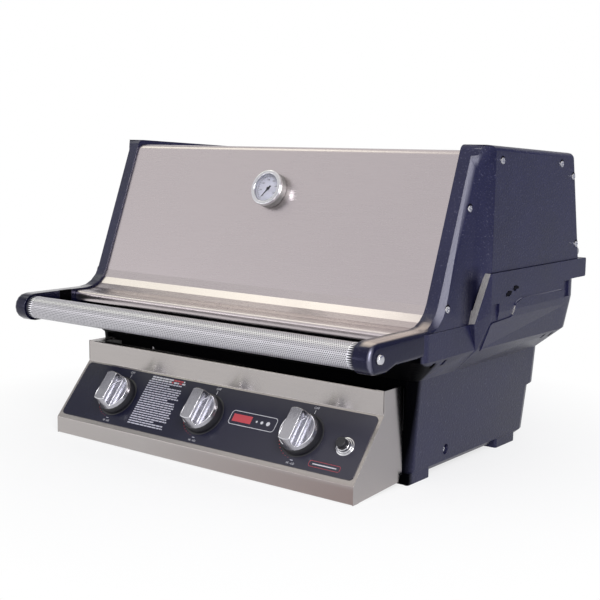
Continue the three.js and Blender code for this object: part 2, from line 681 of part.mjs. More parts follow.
function fireboxCasting() {
  const far = REAR_HALF_WIDTH + CUT_OVERRUN;
  const aboveRim = [
    [BOX_FRONT - CUT_OVERRUN, FRONT_RIM_TOP],
    ...rimLine(0),
    [RIM_FLANGE_REAR + CUT_OVERRUN, REAR_RIM_TOP],
    [RIM_FLANGE_REAR + CUT_OVERRUN, CAP_FRONT_Z],
    [BOX_FRONT - CUT_OVERRUN, CAP_FRONT_Z],
  ];
  const outer = loft(fireboxLevels(0));
  const inner = loft(fireboxLevels(CAST_WALL, LOWER_FOOT_FRONT));
  const flange = prismX(
    rectangle(BOX_REAR - CAST_CORNER, RIM_FLANGE_BOTTOM, RIM_FLANGE_REAR, REAR_RIM_TOP, RIM_CORNER),
    -REAR_HALF_WIDTH,
    REAR_HALF_WIDTH,
  );
  const recess = block(
    [-PANEL_OUTER, PANEL_OUTER],
    [BOX_FRONT - CUT_OVERRUN, RECESS_Y],
    [-CUT_OVERRUN, LEDGE_BOTTOM],
  );
  const shell = cut(union([outer, flange, ...feet(), ...sidePads()]), [
    prismX(rounded(aboveRim), -far, far),
    inner,
    recess,
  ]);
  const withInside = union([shell, ...gridRails(), ...heatRails(), ...burnerCradles(), ...hingeEars()]);
  return cut(withInside, [...sidePockets(), ...burnerHoles(), traySlot()]);
}

function feet() {
  const outer = LOWER_FOOT_HALF_WIDTH - SEAT_GAP;
  const frontStart = LOWER_FRONT + FRONT_FOOT_SETBACK;
  const rearEnd = FOOT_REAR - REAR_FOOT_SETBACK;
  const spans = [
    [frontStart, frontStart + FRONT_FOOT_LENGTH],
    [rearEnd - REAR_FOOT_LENGTH, rearEnd],
  ];
  return spans.flatMap(([y0, y1]) => {
    const outline = rectangle(outer - FOOT_WIDTH, y0, outer, y1, FOOT_RADIUS);
    const pad = prismZ(outline, 0, FLOOR_BOTTOM + FLOOR_CHAMFER);
    return [pad, mirrored(pad)];
  });
}

// A place on the upper side wall from shares of its depth and of its height.
function onSideWall([depthShare, heightShare]) {
  const y = THREE.MathUtils.lerp(BOX_FRONT, BOX_REAR, depthShare);
  const z = THREE.MathUtils.lerp(LEDGE_TOP, REAR_RIM_TOP, heightShare);
  return [y, z];
}

// A slightly raised pad on each side wall, as cast.
function sidePads() {
  const outline = rounded(PAD_OUTLINE_SHARES.map((shares) => [...onSideWall(shares), PAD_RADIUS]));
  const slab = prismX(outline, FRONT_HALF_WIDTH - CAST_WALL, REAR_HALF_WIDTH + CUT_OVERRUN);
  const pad = loft(fireboxLevels(-PAD_PROUD)).intersect(slab);
  return [pad, mirrored(pad)];
}

function sidePockets() {
  const wall = REAR_HALF_WIDTH;
  const sunk = [wall - POCKET_DEPTH, wall + CUT_OVERRUN];
  const hollow = (x, shares, width, height) => {
    const [y, z] = onSideWall(shares);
    return block(x, [y - width / 2, y + width / 2], [z - height / 2, z + height / 2]);
  };
  const pockets = POCKET_SHARES.map((shares) => hollow(sunk, shares, POCKET_WIDTH, POCKET_HEIGHT));
  const vents = VENT_SHARES.map((shares) => hollow(sunk, shares, VENT_SIZE, VENT_SIZE));
  const notchZ = THREE.MathUtils.lerp(LEDGE_BOTTOM, LEDGE_TOP, NOTCH_HEIGHT_SHARE);
  const notchX = (FRONT_HALF_WIDTH + LOWER_TOP_HALF_WIDTH) / 2;
  const notches = NOTCH_DEPTH_SHARES.map((share) => {
    const [y] = onSideWall([share, 0]);
    const half = NOTCH_SIZE / 2;
    return block([notchX, wall], [y - half, y + half], [notchZ - half, notchZ + half]);
  });
  const tools = [...pockets, ...vents, ...notches, sideSlot()];
  return [...tools, ...tools.map(mirrored)];
}

// The upright slot low on each side wall
function sideSlot() {
  const [y] = onSideWall([SIDE_SLOT_DEPTH_SHARE, 0]);
  const z = LEDGE_BOTTOM * SIDE_SLOT_HEIGHT_SHARE;
  const halfWidth = SIDE_SLOT_WIDTH / 2;
  const halfHeight = SIDE_SLOT_HEIGHT / 2;
  const outline = rectangle(
    y - halfWidth,
    z - halfHeight,
    y + halfWidth,
    z + halfHeight,
    halfWidth - TURN_GAP,
  );
  return prismX(outline, LOWER_FOOT_HALF_WIDTH - POCKET_DEPTH, REAR_HALF_WIDTH);
}

// Ledges inside the casting that carry the cooking grids and the heat plates
function railPair(front, rear, depth, height, top, halfWidth) {
  const across = [-halfWidth, halfWidth];
  const upright = [top - height, top];
  const rooted = CAST_WALL / 2;
  return [
    block(across, [front - rooted, front + depth], upright),
    block(across, [rear - depth, rear + rooted], upright),
  ];
}

function gridRails() {
  const front = BOX_FRONT + CAST_WALL;
  const rear = BOX_REAR - CAST_WALL;
  const half = FRONT_HALF_WIDTH - CAST_WALL / 2;
  return railPair(front, rear, GRID_RAIL_DEPTH, GRID_RAIL_HEIGHT, GRID_Z, half);
}

function heatRails() {
  const rear = LOWER_REAR - CAST_WALL;
  const half = LOWER_FOOT_HALF_WIDTH - CAST_WALL / 2;
  return railPair(INNER_FRONT, rear, HEAT_RAIL_DEPTH, HEAT_RAIL_HEIGHT, HEAT_PLATE_Z, half);
}

function burnerCradles() {
  const half = CRADLE_WIDTH / 2;
  const top = BURNER_LEVEL - BURNER_RADIUS - SEAT_GAP;
  const span = [BURNER_REAR - CRADLE_DEPTH, STEP_REAR - CAST_WALL / 2];
  return KNOB_X.map((x) => block([x - half, x + half], span, [top - CRADLE_HEIGHT, top]));
}

function burnerHoles() {
  const from = RECESS_Y - CUT_OVERRUN;
  const to = INNER_FRONT + CUT_OVERRUN;
  return KNOB_X.map((x) => prismY(circle(x, SPUD_PLACE.z, BURNER_RADIUS + SEAT_GAP), from, to));
}

function traySlot() {
  const half = TRAY_HALF_WIDTH + TRAY_SLOT_MARGIN;
  return block(
    [-half, half],
    [FOOT_REAR - CAST_WALL - CUT_OVERRUN * 2, LOWER_REAR],
    [FLOOR_BOTTOM + CAST_WALL, TRAY_TOP + TRAY_SLOT_MARGIN],
  );
}

// Hinge: two ears on the rim at each side, with the lid's knuckle between them.
function earOutline(bottom) {
  const round = HINGE_BARREL - TURN_GAP;
  return rounded([
    [HINGE_Y - HINGE_BARREL, bottom],
    [HINGE_Y + HINGE_BARREL, bottom],
    [HINGE_Y + HINGE_BARREL, HINGE_Z + HINGE_BARREL, round],
    [HINGE_Y - HINGE_BARREL, HINGE_Z + HINGE_BARREL, round],
  ]);
}

function pinBore(x0, x1) {
  const outline = circle(HINGE_Y, HINGE_Z, HINGE_PIN_RADIUS + TURN_GAP / 2);
  return prismX(outline, x0 - CUT_OVERRUN, x1 + CUT_OVERRUN);
}

function hingeEars() {
  const half = HINGE_KNUCKLE / 2;
  const ears = [-1, 1].map((side) => {
    const x = HINGE_KNUCKLE_X + side * (HINGE_KNUCKLE + TURN_GAP * 2);
    const ear = prismX(earOutline(REAR_RIM_TOP - CAST_WALL), x - half, x + half);
    return ear.subtract(pinBore(x - half, x + half));
  });
  return [...ears, ...ears.map(mirrored)];
}

// Depth of the hood's sloping front at a height, sunk by an amount under the cap's face.
function slopeAt(z, sink) {
  return CAP_FOOT_Y + ((z - CAP_FOOT_Z) * HOOD_SLOPE.x + sink) / HOOD_SLOPE.y;
}

// Lid end cap: side profile of the casting, arm and handle boss included
function capProfile() {
  const front = HANDLE_Y - BOSS_RADIUS;
  const bossBottom = HANDLE_Z - BOSS_RADIUS;
  const rearSlope = CAP_REAR_RUN / (CAP_REAR_Z - REAR_RIM_TOP);
  const rearFoot = CAP_REAR_FOOT + (REAR_RIM_TOP - ARM_BOTTOM) * rearSlope;
  return [
    [CAP_FRONT_Y, CAP_FRONT_Z, CAP_CORNER],
    [slopeAt(ARM_TOP, 0), ARM_TOP, CAP_FILLET],
    [front, ARM_TOP, BOSS_RADIUS - TURN_GAP],
    [front, bossBottom, BOSS_RADIUS - TURN_GAP],
    [HANDLE_Y + BOSS_RADIUS, bossBottom, BOSS_RADIUS / 2],
    [HANDLE_Y + BOSS_RADIUS * 2, ARM_BOTTOM, BOSS_RADIUS],
    [rearFoot, ARM_BOTTOM],
    [CAP_REAR_Y, CAP_REAR_Z, CAP_CORNER],
  ];
}

// What the firebox leaves free: the cap ends just above the rim and behind the arm.
function belowCap() {
  const rear = REAR_HALF_WIDTH;
  const low = ARM_BOTTOM - CUT_OVERRUN;
  const [rimFront, rimRear] = rimLine(LID_GAP);
  return rounded([
    [ARM_REAR, low],
    [rear, low],
    [rear, rimRear[1]],
    rimRear,
    rimFront,
    [ARM_REAR, rimFront[1]],
  ]);
}

// The hollow inside a cap, open towards the lid's middle and downwards.
function capHollow() {
  const high = CAP_FRONT_Z - CAP_RIM_DEPTH;
  const low = RIM_FLANGE_BOTTOM;
  const frontLow = FRONT_RIM_TOP - CUT_OVERRUN;
  const filletTop = FRONT_RIM_TOP + CAP_FILLET;
  const frontFoot = slopeAt(filletTop, CAP_RIM_DEPTH);
  const rearFoot = CAP_REAR_FOOT - CAP_RIM_DEPTH;
  return rounded([
    [slopeAt(high, CAP_RIM_DEPTH), high, CAP_CORNER],
    [frontFoot, filletTop],
    [frontFoot, frontLow],
    [RIM_SLOPE_REAR, frontLow],
    [RIM_SLOPE_REAR, low],
    [rearFoot, low],
    [rearFoot, REAR_RIM_TOP],
    [CAP_REAR_Y - CAP_RIM_DEPTH, CAP_REAR_Z - CAP_RIM_DEPTH, CAP_CORNER],
  ]);
}

// Moves every side of a closed outline of corners inwards, arcs included.
function insetCorners(corners, distance) {
  const count = corners.length;
  return corners.map(([u, v, radius = 0], i) => {
    const here = new THREE.Vector2(u, v);
    const [beforeU, beforeV] = corners[(i + count - 1) % count];
    const [afterU, afterV] = corners[(i + 1) % count];
    const into = here.clone().sub(new THREE.Vector2(beforeU, beforeV)).normalize();
    const out = new THREE.Vector2(afterU, afterV).sub(here).normalize();
    const normalSum = new THREE.Vector2(-into.y - out.y, into.x + out.x);
    const spot = here.addScaledVector(normalSum, distance / (1 + into.dot(out)));
    const turn = Math.sign(into.cross(out));
    return [spot.x, spot.y, radius === 0 ? 0 : radius - turn * distance];
  });
}

// A profile swept outwards along +X with its outer edge rounded over.
function edgedPrismX(corners, from, to) {
  const levels = [{ z: from, outline: rounded(corners) }];
  for (let k = 0; k <= EDGE_STEPS; k++) {
    const turn = (QUARTER * k) / EDGE_STEPS;
    const inset = CAP_EDGE_ROUND * (1 - Math.cos(turn));
    const z = to - CAP_EDGE_ROUND * (1 - Math.sin(turn));
    levels.push({ z, outline: rounded(insetCorners(corners, inset)) });
  }
  const basis = new THREE.Matrix4().makeBasis(Y_AXIS, Z_AXIS, X_AXIS);
  return placed(loft(levels), basis);
}

function endCap(side) {
  const inner = FRONT_HALF_WIDTH - CAP_RIM_WIDTH;
  const profile = capProfile();
  const high = CAP_FRONT_Z + CUT_OVERRUN;
  const wide = CAP_WIDE_HALF_WIDTH;
  const plan = (inset) => [
    [inner - CUT_OVERRUN, CAP_FACET_FRONT + inset],
    [FRONT_HALF_WIDTH - inset, CAP_FACET_FRONT + inset],
    [wide - inset, CAP_FACET_REAR + inset],
    [wide - inset, CAP_REAR_FOOT + CUT_OVERRUN],
    [inner - CUT_OVERRUN, CAP_REAR_FOOT + CUT_OVERRUN],
  ];
  const narrowPart = edgedPrismX(profile, inner, FRONT_HALF_WIDTH);
  const widePart = edgedPrismX(profile, inner, wide).intersect(prismZ(rounded(plan(0)), 0, high));
  const hollow = capHollow();
  const narrowHollow = prismX(hollow, inner - CUT_OVERRUN, FRONT_HALF_WIDTH - CAP_WALL);
  const wideHollow = prismX(hollow, inner - CUT_OVERRUN, wide - CAP_WALL).intersect(
    prismZ(rounded(plan(CAP_WALL)), 0, high),
  );
  const knuckleSpan = [HINGE_KNUCKLE_X - HINGE_KNUCKLE / 2, HINGE_KNUCKLE_X + HINGE_KNUCKLE / 2];
  const [, kneeZ] = rimLine(LID_GAP)[1];
  const knuckle = union([
    prismX(circle(HINGE_Y, HINGE_Z, HINGE_BARREL), ...knuckleSpan),
    block(knuckleSpan, [CAP_REAR_FOOT - CAP_WALL, HINGE_Y], [kneeZ, HINGE_Z + HINGE_BARREL - LID_GAP]),
  ]);
  const whole = cut(union([narrowPart, widePart]), [
    narrowHollow,
    wideHollow,
    prismX(belowCap(), inner - CUT_OVERRUN, wide + CUT_OVERRUN),
  ]);
  const boltBore = prismX(
    circle(HANDLE_Y, HANDLE_Z, BOLT_RADIUS + TURN_GAP),
    inner - CUT_OVERRUN,
    FRONT_HALF_WIDTH + CUT_OVERRUN,
  );
  const socket = prismX(
    circle(HANDLE_Y, HANDLE_Z, HANDLE_RADIUS + SEAT_GAP),
    inner - CUT_OVERRUN,
    inner + HANDLE_SOCKET,
  );
  const right = cut(union([whole, knuckle]), [boltBore, socket, pinBore(...knuckleSpan)]);
  return side > 0 ? right : mirrored(right);
}

// Hood sheets between the end caps
const HOOD_HALF = FRONT_HALF_WIDTH - CAP_RIM_WIDTH - SEAT_GAP;

function hoodTopAt(y, sink) {
  const share = (y - CAP_FRONT_Y) / (CAP_REAR_Y - CAP_FRONT_Y);
  return THREE.MathUtils.lerp(CAP_FRONT_Z, CAP_REAR_Z, share) - HOOD_TOP_SINK - sink;
}

function hoodFrontSheet() {
  const top = CAP_FRONT_Z - HOOD_TOP_SINK;
  const path = rounded(
    [
      [NOSE_LIP_REAR, NOSE_BOTTOM],
      [NOSE_FRONT, NOSE_BOTTOM, NOSE_RADIUS],
      [NOSE_FRONT, HOOD_LEDGE, NOSE_RADIUS],
      [slopeAt(HOOD_LEDGE, SHEET_RECESS), HOOD_LEDGE, CAP_FILLET],
      [slopeAt(top, SHEET_RECESS), top, CAP_CORNER],
      [HOOD_TOP_JOINT, hoodTopAt(HOOD_TOP_JOINT, 0)],
    ],
    false,
  ).reverse();
  const sheet = prismX(band(path, SHEET), -HOOD_HALF, HOOD_HALF);
  const outline = circle(0, 0, GAUGE_STEM_RADIUS + TURN_GAP, SMALL_SEGMENTS);
  const hole = prismZ(outline, -GAUGE_STEM_LENGTH, GAUGE_HEIGHT);
  return sheet.subtract(placed(hole, gaugeFrame()));
}

function hoodRearSheet() {
  const sink = SHEET + SEAT_GAP;
  const start = HOOD_TOP_JOINT - HOOD_LAP;
  const rearTop = [CAP_REAR_Y - SHEET_RECESS, hoodTopAt(CAP_REAR_Y, sink)];
  const path = rounded(
    [
      [start, hoodTopAt(start, sink)],
      [...rearTop, CAP_CORNER],
      [CAP_REAR_FOOT - SHEET_RECESS, REAR_RIM_TOP + LID_GAP],
    ],
    false,
  ).reverse();
  return prismX(band(path, SHEET), -HOOD_HALF, HOOD_HALF);
}

// Handle
const HANDLE_HALF = HOOD_HALF + HANDLE_SOCKET;

function handleTube() {
  const half = HANDLE_HALF;
  const outer = prismX(circle(HANDLE_Y, HANDLE_Z, HANDLE_RADIUS), -half, half);
  const inner = prismX(
    circle(HANDLE_Y, HANDLE_Z, HANDLE_RADIUS - HANDLE_WALL),
    -half - CUT_OVERRUN,
    half + CUT_OVERRUN,
  );
  return outer.subtract(inner);
}

function handleCore() {
  const half = HANDLE_HALF;
  const waistHalf = half - HANDLE_RADIUS;
  const around = (radius, segments) => circle(HANDLE_Y, HANDLE_Z, radius, segments);
  const bar = prismX(around(HANDLE_RADIUS - HANDLE_WALL - SEAT_GAP), -half, half);
  const rod = prismX(around(HANDLE_CORE_RADIUS), -half, half);
  const waist = prismX(around(HANDLE_RADIUS), -waistHalf, waistHalf).subtract(rod);
  const boreEnd = FRONT_HALF_WIDTH - BOLT_LENGTH;
  const bore = prismX(around(BOLT_RADIUS + TURN_GAP, SMALL_SEGMENTS), boreEnd, half + CUT_OVERRUN);
  return cut(bar, [waist, bore, mirrored(bore)]);
}

function handleBolt(side) {
  const tip = -BOLT_LENGTH + BOLT_RADIUS;
  const top = SEAT_GAP + BOLT_HEAD_HEIGHT;
  const bolt = turned(
    [
      [0, tip],
      [BOLT_RADIUS, tip],
      [BOLT_RADIUS, SEAT_GAP],
      [BOLT_HEAD_RADIUS, SEAT_GAP],
      [BOLT_HEAD_RADIUS, top, BOLT_HEAD_ROUND],
      [0, top],
    ],
    SMALL_SEGMENTS,
  );
  const frame = new THREE.Matrix4()
    .makeBasis(Y_AXIS, Z_AXIS, X_AXIS)
    .setPosition(FRONT_HALF_WIDTH, HANDLE_Y, HANDLE_Z);
  const right = placed(bolt, frame);
  return side > 0 ? right : mirrored(right);
}

function hingePin(side) {
  const reach = (HINGE_KNUCKLE * HINGE_LEAVES) / 2 + TURN_GAP * 2;
  const seat = reach + SEAT_GAP;
  const profile = [
    [0, -reach],
    [HINGE_PIN_RADIUS, -reach],
    [HINGE_PIN_RADIUS, seat],
    [HINGE_PIN_HEAD, seat],
    [HINGE_PIN_HEAD, seat + HINGE_PIN_HEAD_LENGTH],
    [0, seat + HINGE_PIN_HEAD_LENGTH],
  ];
  const pin = turned(profile, SMALL_SEGMENTS);
  const frame = new THREE.Matrix4()
    .makeBasis(Y_AXIS, Z_AXIS, X_AXIS)
    .setPosition(HINGE_KNUCKLE_X, HINGE_Y, HINGE_Z);
  const right = placed(pin, frame);
  return side > 0 ? right : mirrored(right);
}

// Thermometer, built along +Z out of the hood's front
function gaugeCase() {
  const inside = GAUGE_RADIUS - GAUGE_BEZEL;
  const body = turned([
    [0, -GAUGE_STEM_LENGTH],
    [GAUGE_STEM_RADIUS, -GAUGE_STEM_LENGTH, GAUGE_STEM_RADIUS / 2],
    [GAUGE_STEM_RADIUS, SEAT_GAP],
    [GAUGE_RADIUS, SEAT_GAP],
    [GAUGE_RADIUS, GAUGE_HEIGHT, GAUGE_BEZEL / 2],
    [inside, GAUGE_HEIGHT, GAUGE_GLASS_SINK],
    [inside, GAUGE_FLOOR],
    [0, GAUGE_FLOOR],
  ]);
  return placed(body, gaugeFrame());
}

function gaugeDial() {
  const radius = GAUGE_RADIUS - GAUGE_BEZEL - TURN_GAP;
  const bottom = GAUGE_FLOOR + SEAT_GAP;
  const disc = turned([
    [0, bottom],
    [radius, bottom],
    [radius, bottom + GAUGE_DIAL],
    [0, bottom + GAUGE_DIAL],
  ]);
  const hole = prismZ(circle(0, 0, (GAUGE_HUB_RADIUS + TURN_GAP) / 2), 0, GAUGE_HEIGHT);
  return placed(disc.subtract(hole), gaugeFrame());
}

function gaugePointer() {
  const base = GAUGE_FLOOR + SEAT_GAP;
  const bottom = base + GAUGE_DIAL + SEAT_GAP;
  const profile = [
    [0, base],
    [GAUGE_HUB_RADIUS / 2, base],
    [GAUGE_HUB_RADIUS / 2, bottom],
    [GAUGE_HUB_RADIUS, bottom],
    [GAUGE_HUB_RADIUS, bottom + GAUGE_DIAL * 2],
    [0, bottom + GAUGE_DIAL * 2],
  ];
  const hub = turned(profile, SMALL_SEGMENTS);
  const tail = GAUGE_POINTER_LENGTH / 3;
  const hand = prismZ(
    [
      [GAUGE_POINTER_LENGTH, 0],
      [0, GAUGE_HUB_RADIUS / 2],
      [-tail, GAUGE_HUB_RADIUS / 2],
      [-tail, -GAUGE_HUB_RADIUS / 2],
      [0, -GAUGE_HUB_RADIUS / 2],
    ].map(([u, v]) => new THREE.Vector2(u, v)),
    bottom,
    bottom + GAUGE_DIAL,
  );
  const turn = new THREE.Matrix4().makeRotationZ(THREE.MathUtils.degToRad(GAUGE_POINTER_ANGLE));
  return placed(placed(union([hub, hand]), turn), gaugeFrame());
}

function gaugeGlass() {
  const radius = GAUGE_RADIUS - GAUGE_BEZEL - TURN_GAP;
  const top = GAUGE_HEIGHT - GAUGE_GLASS_SINK;
  const lens = turned([
    [0, top - GAUGE_GLASS],
    [radius, top - GAUGE_GLASS],
    [radius, top],
    [0, top],
  ]);
  return placed(lens, gaugeFrame());
}

function gaugeNut() {
  const top = -SHEET - SEAT_GAP;
  const nut = prismZ(circle(0, 0, GAUGE_NUT_RADIUS, HEX_SIDES), top - GAUGE_NUT_HEIGHT, top);
  const bore = prismZ(circle(0, 0, GAUGE_STEM_RADIUS + TURN_GAP), top - GAUGE_NUT_HEIGHT - CUT_OVERRUN, 0);
  return placed(nut.subtract(bore), gaugeFrame());
}

// Control panel
function panelShell() {
  const side = [
    [PANEL_FRONT, PANEL_TOP],
    [PANEL_FRONT, PANEL_BREAK_Z, PANEL_BEND],
    [PANEL_LIP_Y, PANEL_LIP_HEIGHT, PANEL_BEND],
    [PANEL_LIP_Y, 0],
    [PANEL_REAR - PANEL_CHAMFER, PANEL_SIDE_LIFT],
    [PANEL_REAR, PANEL_SIDE_LIFT + PANEL_CHAMFER],
    [PANEL_REAR, PANEL_TOP],
  ];
  const face = rounded(
    [
      [PANEL_FRONT + PANEL_FLANGE, PANEL_TOP],
      [PANEL_FRONT, PANEL_TOP, PANEL_BEND],
      [PANEL_FRONT, PANEL_BREAK_Z, PANEL_BEND],
      [PANEL_LIP_Y, PANEL_LIP_HEIGHT, PANEL_BEND],
      [PANEL_LIP_Y, 0, PANEL_BEND],
      [PANEL_LIP_Y + PANEL_FLANGE, 0],
    ],
    false,
  );
  const front = prismX(band(face, PANEL_SHEET), -PANEL_HALF_WIDTH, PANEL_HALF_WIDTH);
  const inner = PANEL_HALF_WIDTH - PANEL_SHEET;
  const plate = prismX(rounded(side), inner, PANEL_HALF_WIDTH);
  const flange = block(
    [inner - PANEL_FLANGE, inner + PANEL_SHEET / 2],
    [PANEL_FRONT + PANEL_SHEET / 2, PANEL_REAR],
    [PANEL_TOP - PANEL_SHEET, PANEL_TOP],
  );
  const whole = union([front, plate, mirrored(plate), flange, mirrored(flange)]);
  return cut(whole, frontHoles(-PANEL_SHEET - CUT_OVERRUN, CUT_OVERRUN));
}

// Holes in the panel and its label for the valve stems and the igniter
function frontHoles(from, to) {
  const hole = (x, along, radius) =>
    placed(prismZ(circle(0, 0, radius, SMALL_SEGMENTS), from, to), panelFrame(x, along));
  return [
    ...KNOB_X.map((x) => hole(x, KNOB_ALONG_SLOPE, STEM_HOLE_RADIUS)),
    hole(IGNITER_X, IGNITER_ALONG_SLOPE, IGNITER_BUTTON_RADIUS + TURN_GAP * 2),
  ];
}

function labelPlate() {
  const half = PANEL_HALF_WIDTH - LABEL_SIDE_MARGIN;
  const foot = LABEL_FOOT_MARGIN - PANEL_SLOPE_LENGTH;
  const outline = rectangle(-half, foot, half, -LABEL_TOP_MARGIN, LABEL_CORNER);
  const plate = placed(prismZ(outline, SEAT_GAP, SEAT_GAP + LABEL_THICKNESS), panelFrame(0, 0));
  return cut(plate, frontHoles(-CUT_OVERRUN, CUT_OVERRUN));
}

function panelBracket(side) {
  const wall = RECESS_Y - SEAT_GAP;
  const inner = PANEL_HALF_WIDTH - PANEL_SHEET - SEAT_GAP;
  const top = PANEL_TOP - BRACKET_DROP;
  const span = [top - BRACKET_HEIGHT, top];
  const legs = union([
    block([inner - BRACKET_LEG, inner], [wall - BRACKET_SHEET, wall], span),
    block([inner - BRACKET_SHEET, inner], [wall - BRACKET_LEG, wall], span),
  ]);
  return side > 0 ? legs : mirrored(legs);
}

// Knob: a tapered drum with a scoop down each flank that leaves a straight grip
function knob(x) {
  const base = SEAT_GAP + LABEL_THICKNESS + KNOB_LIFT;
  const rim = base + KNOB_RIM_HEIGHT;
  const top = base + KNOB_HEIGHT;
  const drum = turned([
    [0, base],
    [KNOB_BASE_RADIUS, base],
    [KNOB_BASE_RADIUS, base + KNOB_FOOT_BAND],
    [KNOB_RIM_RADIUS, rim],
    [KNOB_TOP_RADIUS, top, KNOB_EDGE],
    [0, top],
  ]);
  const clear = KNOB_BASE_RADIUS + CUT_OVERRUN;
  const flank = rounded([
    [KNOB_GRIP_HALF_WIDTH, top + CUT_OVERRUN],
    [KNOB_GRIP_HALF_WIDTH, top - KNOB_EDGE],
    [KNOB_WAIST_HALF_WIDTH, (rim + top) / 2, KNOB_WAIST_ROUND],
    [KNOB_GRIP_HALF_WIDTH, rim],
    [clear, rim],
    [clear, top + CUT_OVERRUN],
  ]);
  const scoop = prismY(flank, -clear, clear);
  const bore = prismZ(circle(0, 0, STEM_RADIUS + TURN_GAP, SMALL_SEGMENTS), 0, base + KNOB_BORE_DEPTH);
  return placed(cut(drum, [scoop, mirrored(scoop), bore]), panelFrame(x, KNOB_ALONG_SLOPE));
}

const STEM_TOP = LABEL_THICKNESS + KNOB_LIFT + KNOB_BORE_DEPTH;
const PLUG_TOP = VALVE_TOP - VALVE_COLLAR_LENGTH - PUSH_TRAVEL;

function valveStem(x) {
  const foot = PLUG_TOP - STEM_KEY;
  const stem = turned(
    [
      [0, foot],
      [STEM_RADIUS, foot],
      [STEM_RADIUS, STEM_TOP],
      [0, STEM_TOP],
    ],
    SMALL_SEGMENTS,
  );
  return placed(stem, panelFrame(x, KNOB_ALONG_SLOPE));
}

function valvePlug(x) {
  const bottom = PLUG_TOP - VALVE_PLUG_LENGTH;
  const profile = [
    [0, bottom],
    [VALVE_PLUG_TIP_RADIUS, bottom],
    [VALVE_PLUG_RADIUS, PLUG_TOP],
    [0, PLUG_TOP],
  ];
  const plug = turned(profile, SMALL_SEGMENTS);
  const socketFoot = PLUG_TOP - STEM_KEY - PUSH_TRAVEL - SEAT_GAP;
  const outline = circle(0, 0, STEM_RADIUS + TURN_GAP, SMALL_SEGMENTS);
  const socket = prismZ(outline, socketFoot, PLUG_TOP + CUT_OVERRUN);
  return placed(plug.subtract(socket), panelFrame(x, KNOB_ALONG_SLOPE));
}

function valveBody(x) {
  const bottom = VALVE_TOP - VALVE_LENGTH;
  const shoulder = VALVE_TOP - VALVE_COLLAR_LENGTH;
  const barrelProfile = [
    [0, bottom],
    [VALVE_RADIUS, bottom],
    [VALVE_RADIUS, shoulder],
    [VALVE_COLLAR_RADIUS, shoulder],
    [VALVE_COLLAR_RADIUS, VALVE_TOP],
    [0, VALVE_TOP],
  ];
  const stemBore = STEM_RADIUS + TURN_GAP;
  const chamberTop = PLUG_TOP + SEAT_GAP;
  const chamberFoot = PLUG_TOP - VALVE_PLUG_LENGTH - SEAT_GAP;
  const chamberProfile = [
    [0, chamberFoot],
    [VALVE_PLUG_TIP_RADIUS + TURN_GAP, chamberFoot],
    [VALVE_PLUG_RADIUS + TURN_GAP, chamberTop],
    [stemBore, chamberTop],
    [stemBore, CUT_OVERRUN],
    [0, CUT_OVERRUN],
  ];
  const frame = panelFrame(x, KNOB_ALONG_SLOPE);
  const outline = circle(x, SPUD_PLACE.z, SPUD_RADIUS, SMALL_SEGMENTS);
  const spud = prismY(outline, SPUD_PLACE.y, BURNER_FRONT + SPUD_ENTRY);
  const barrel = placed(turned(barrelProfile, SMALL_SEGMENTS), frame);
  const chamber = placed(turned(chamberProfile, SMALL_SEGMENTS), frame);
  return union([barrel, spud]).subtract(chamber);
}

// Gas manifold, lying against the lower ends of the valves
function aroundManifold(radius, segments) {
  return circle(MANIFOLD_PLACE.y, MANIFOLD_PLACE.z, radius, segments);
}

function manifold() {
  const [from, to] = MANIFOLD_ENDS;
  const pipe = prismX(aroundManifold(MANIFOLD_RADIUS), from, to);
  const bore = prismX(aroundManifold(INLET_BORE, SMALL_SEGMENTS), from - CUT_OVERRUN, from + INLET_LENGTH);
  return pipe.subtract(bore);
}

function inletFitting() {
  const end = MANIFOLD_ENDS[0] - SEAT_GAP;
  const tip = end - INLET_LENGTH;
  const hex = prismX(aroundManifold(INLET_HEX_RADIUS, HEX_SIDES), end - INLET_LENGTH / 2, end);
  const nipple = prismX(aroundManifold(MANIFOLD_RADIUS), tip, end - SEAT_GAP);
  const bore = prismX(aroundManifold(INLET_BORE, SMALL_SEGMENTS), tip - CUT_OVERRUN, end + CUT_OVERRUN);
  return union([hex, nipple]).subtract(bore);
}

// Push igniter
function igniterRing() {
  const base = SEAT_GAP * 2 + LABEL_THICKNESS;
  const inside = IGNITER_BUTTON_RADIUS + TURN_GAP;
  const ring = turned([
    [0, base],
    [IGNITER_RING_RADIUS, base],
    [IGNITER_RING_RADIUS, base + IGNITER_RING_FOOT, SEAT_GAP],
    [IGNITER_RING_RADIUS - IGNITER_RING_EDGE, IGNITER_RING_HEIGHT, IGNITER_RING_EDGE],
    [0, IGNITER_RING_HEIGHT],
  ]);
  const bore = prismZ(circle(0, 0, inside), 0, IGNITER_RING_HEIGHT + CUT_OVERRUN);
  return placed(ring.subtract(bore), panelFrame(IGNITER_X, IGNITER_ALONG_SLOPE));
}

function igniterBody() {
  const top = -PANEL_SHEET - SEAT_GAP;
  const foot = top - IGNITER_BODY_LENGTH;
  const profile = [
    [0, foot],
    [IGNITER_BODY_FOOT_RADIUS, foot],
    [IGNITER_BODY_RADIUS, foot + IGNITER_BODY_TAPER],
    [IGNITER_BODY_RADIUS, top],
    [0, top],
  ];
  const cup = turned(profile, SMALL_SEGMENTS);
  const outline = circle(0, 0, IGNITER_BUTTON_RADIUS + TURN_GAP);
  const bore = prismZ(outline, top - IGNITER_BORE_DEPTH, CUT_OVERRUN);
  return placed(cup.subtract(bore), panelFrame(IGNITER_X, IGNITER_ALONG_SLOPE));
}

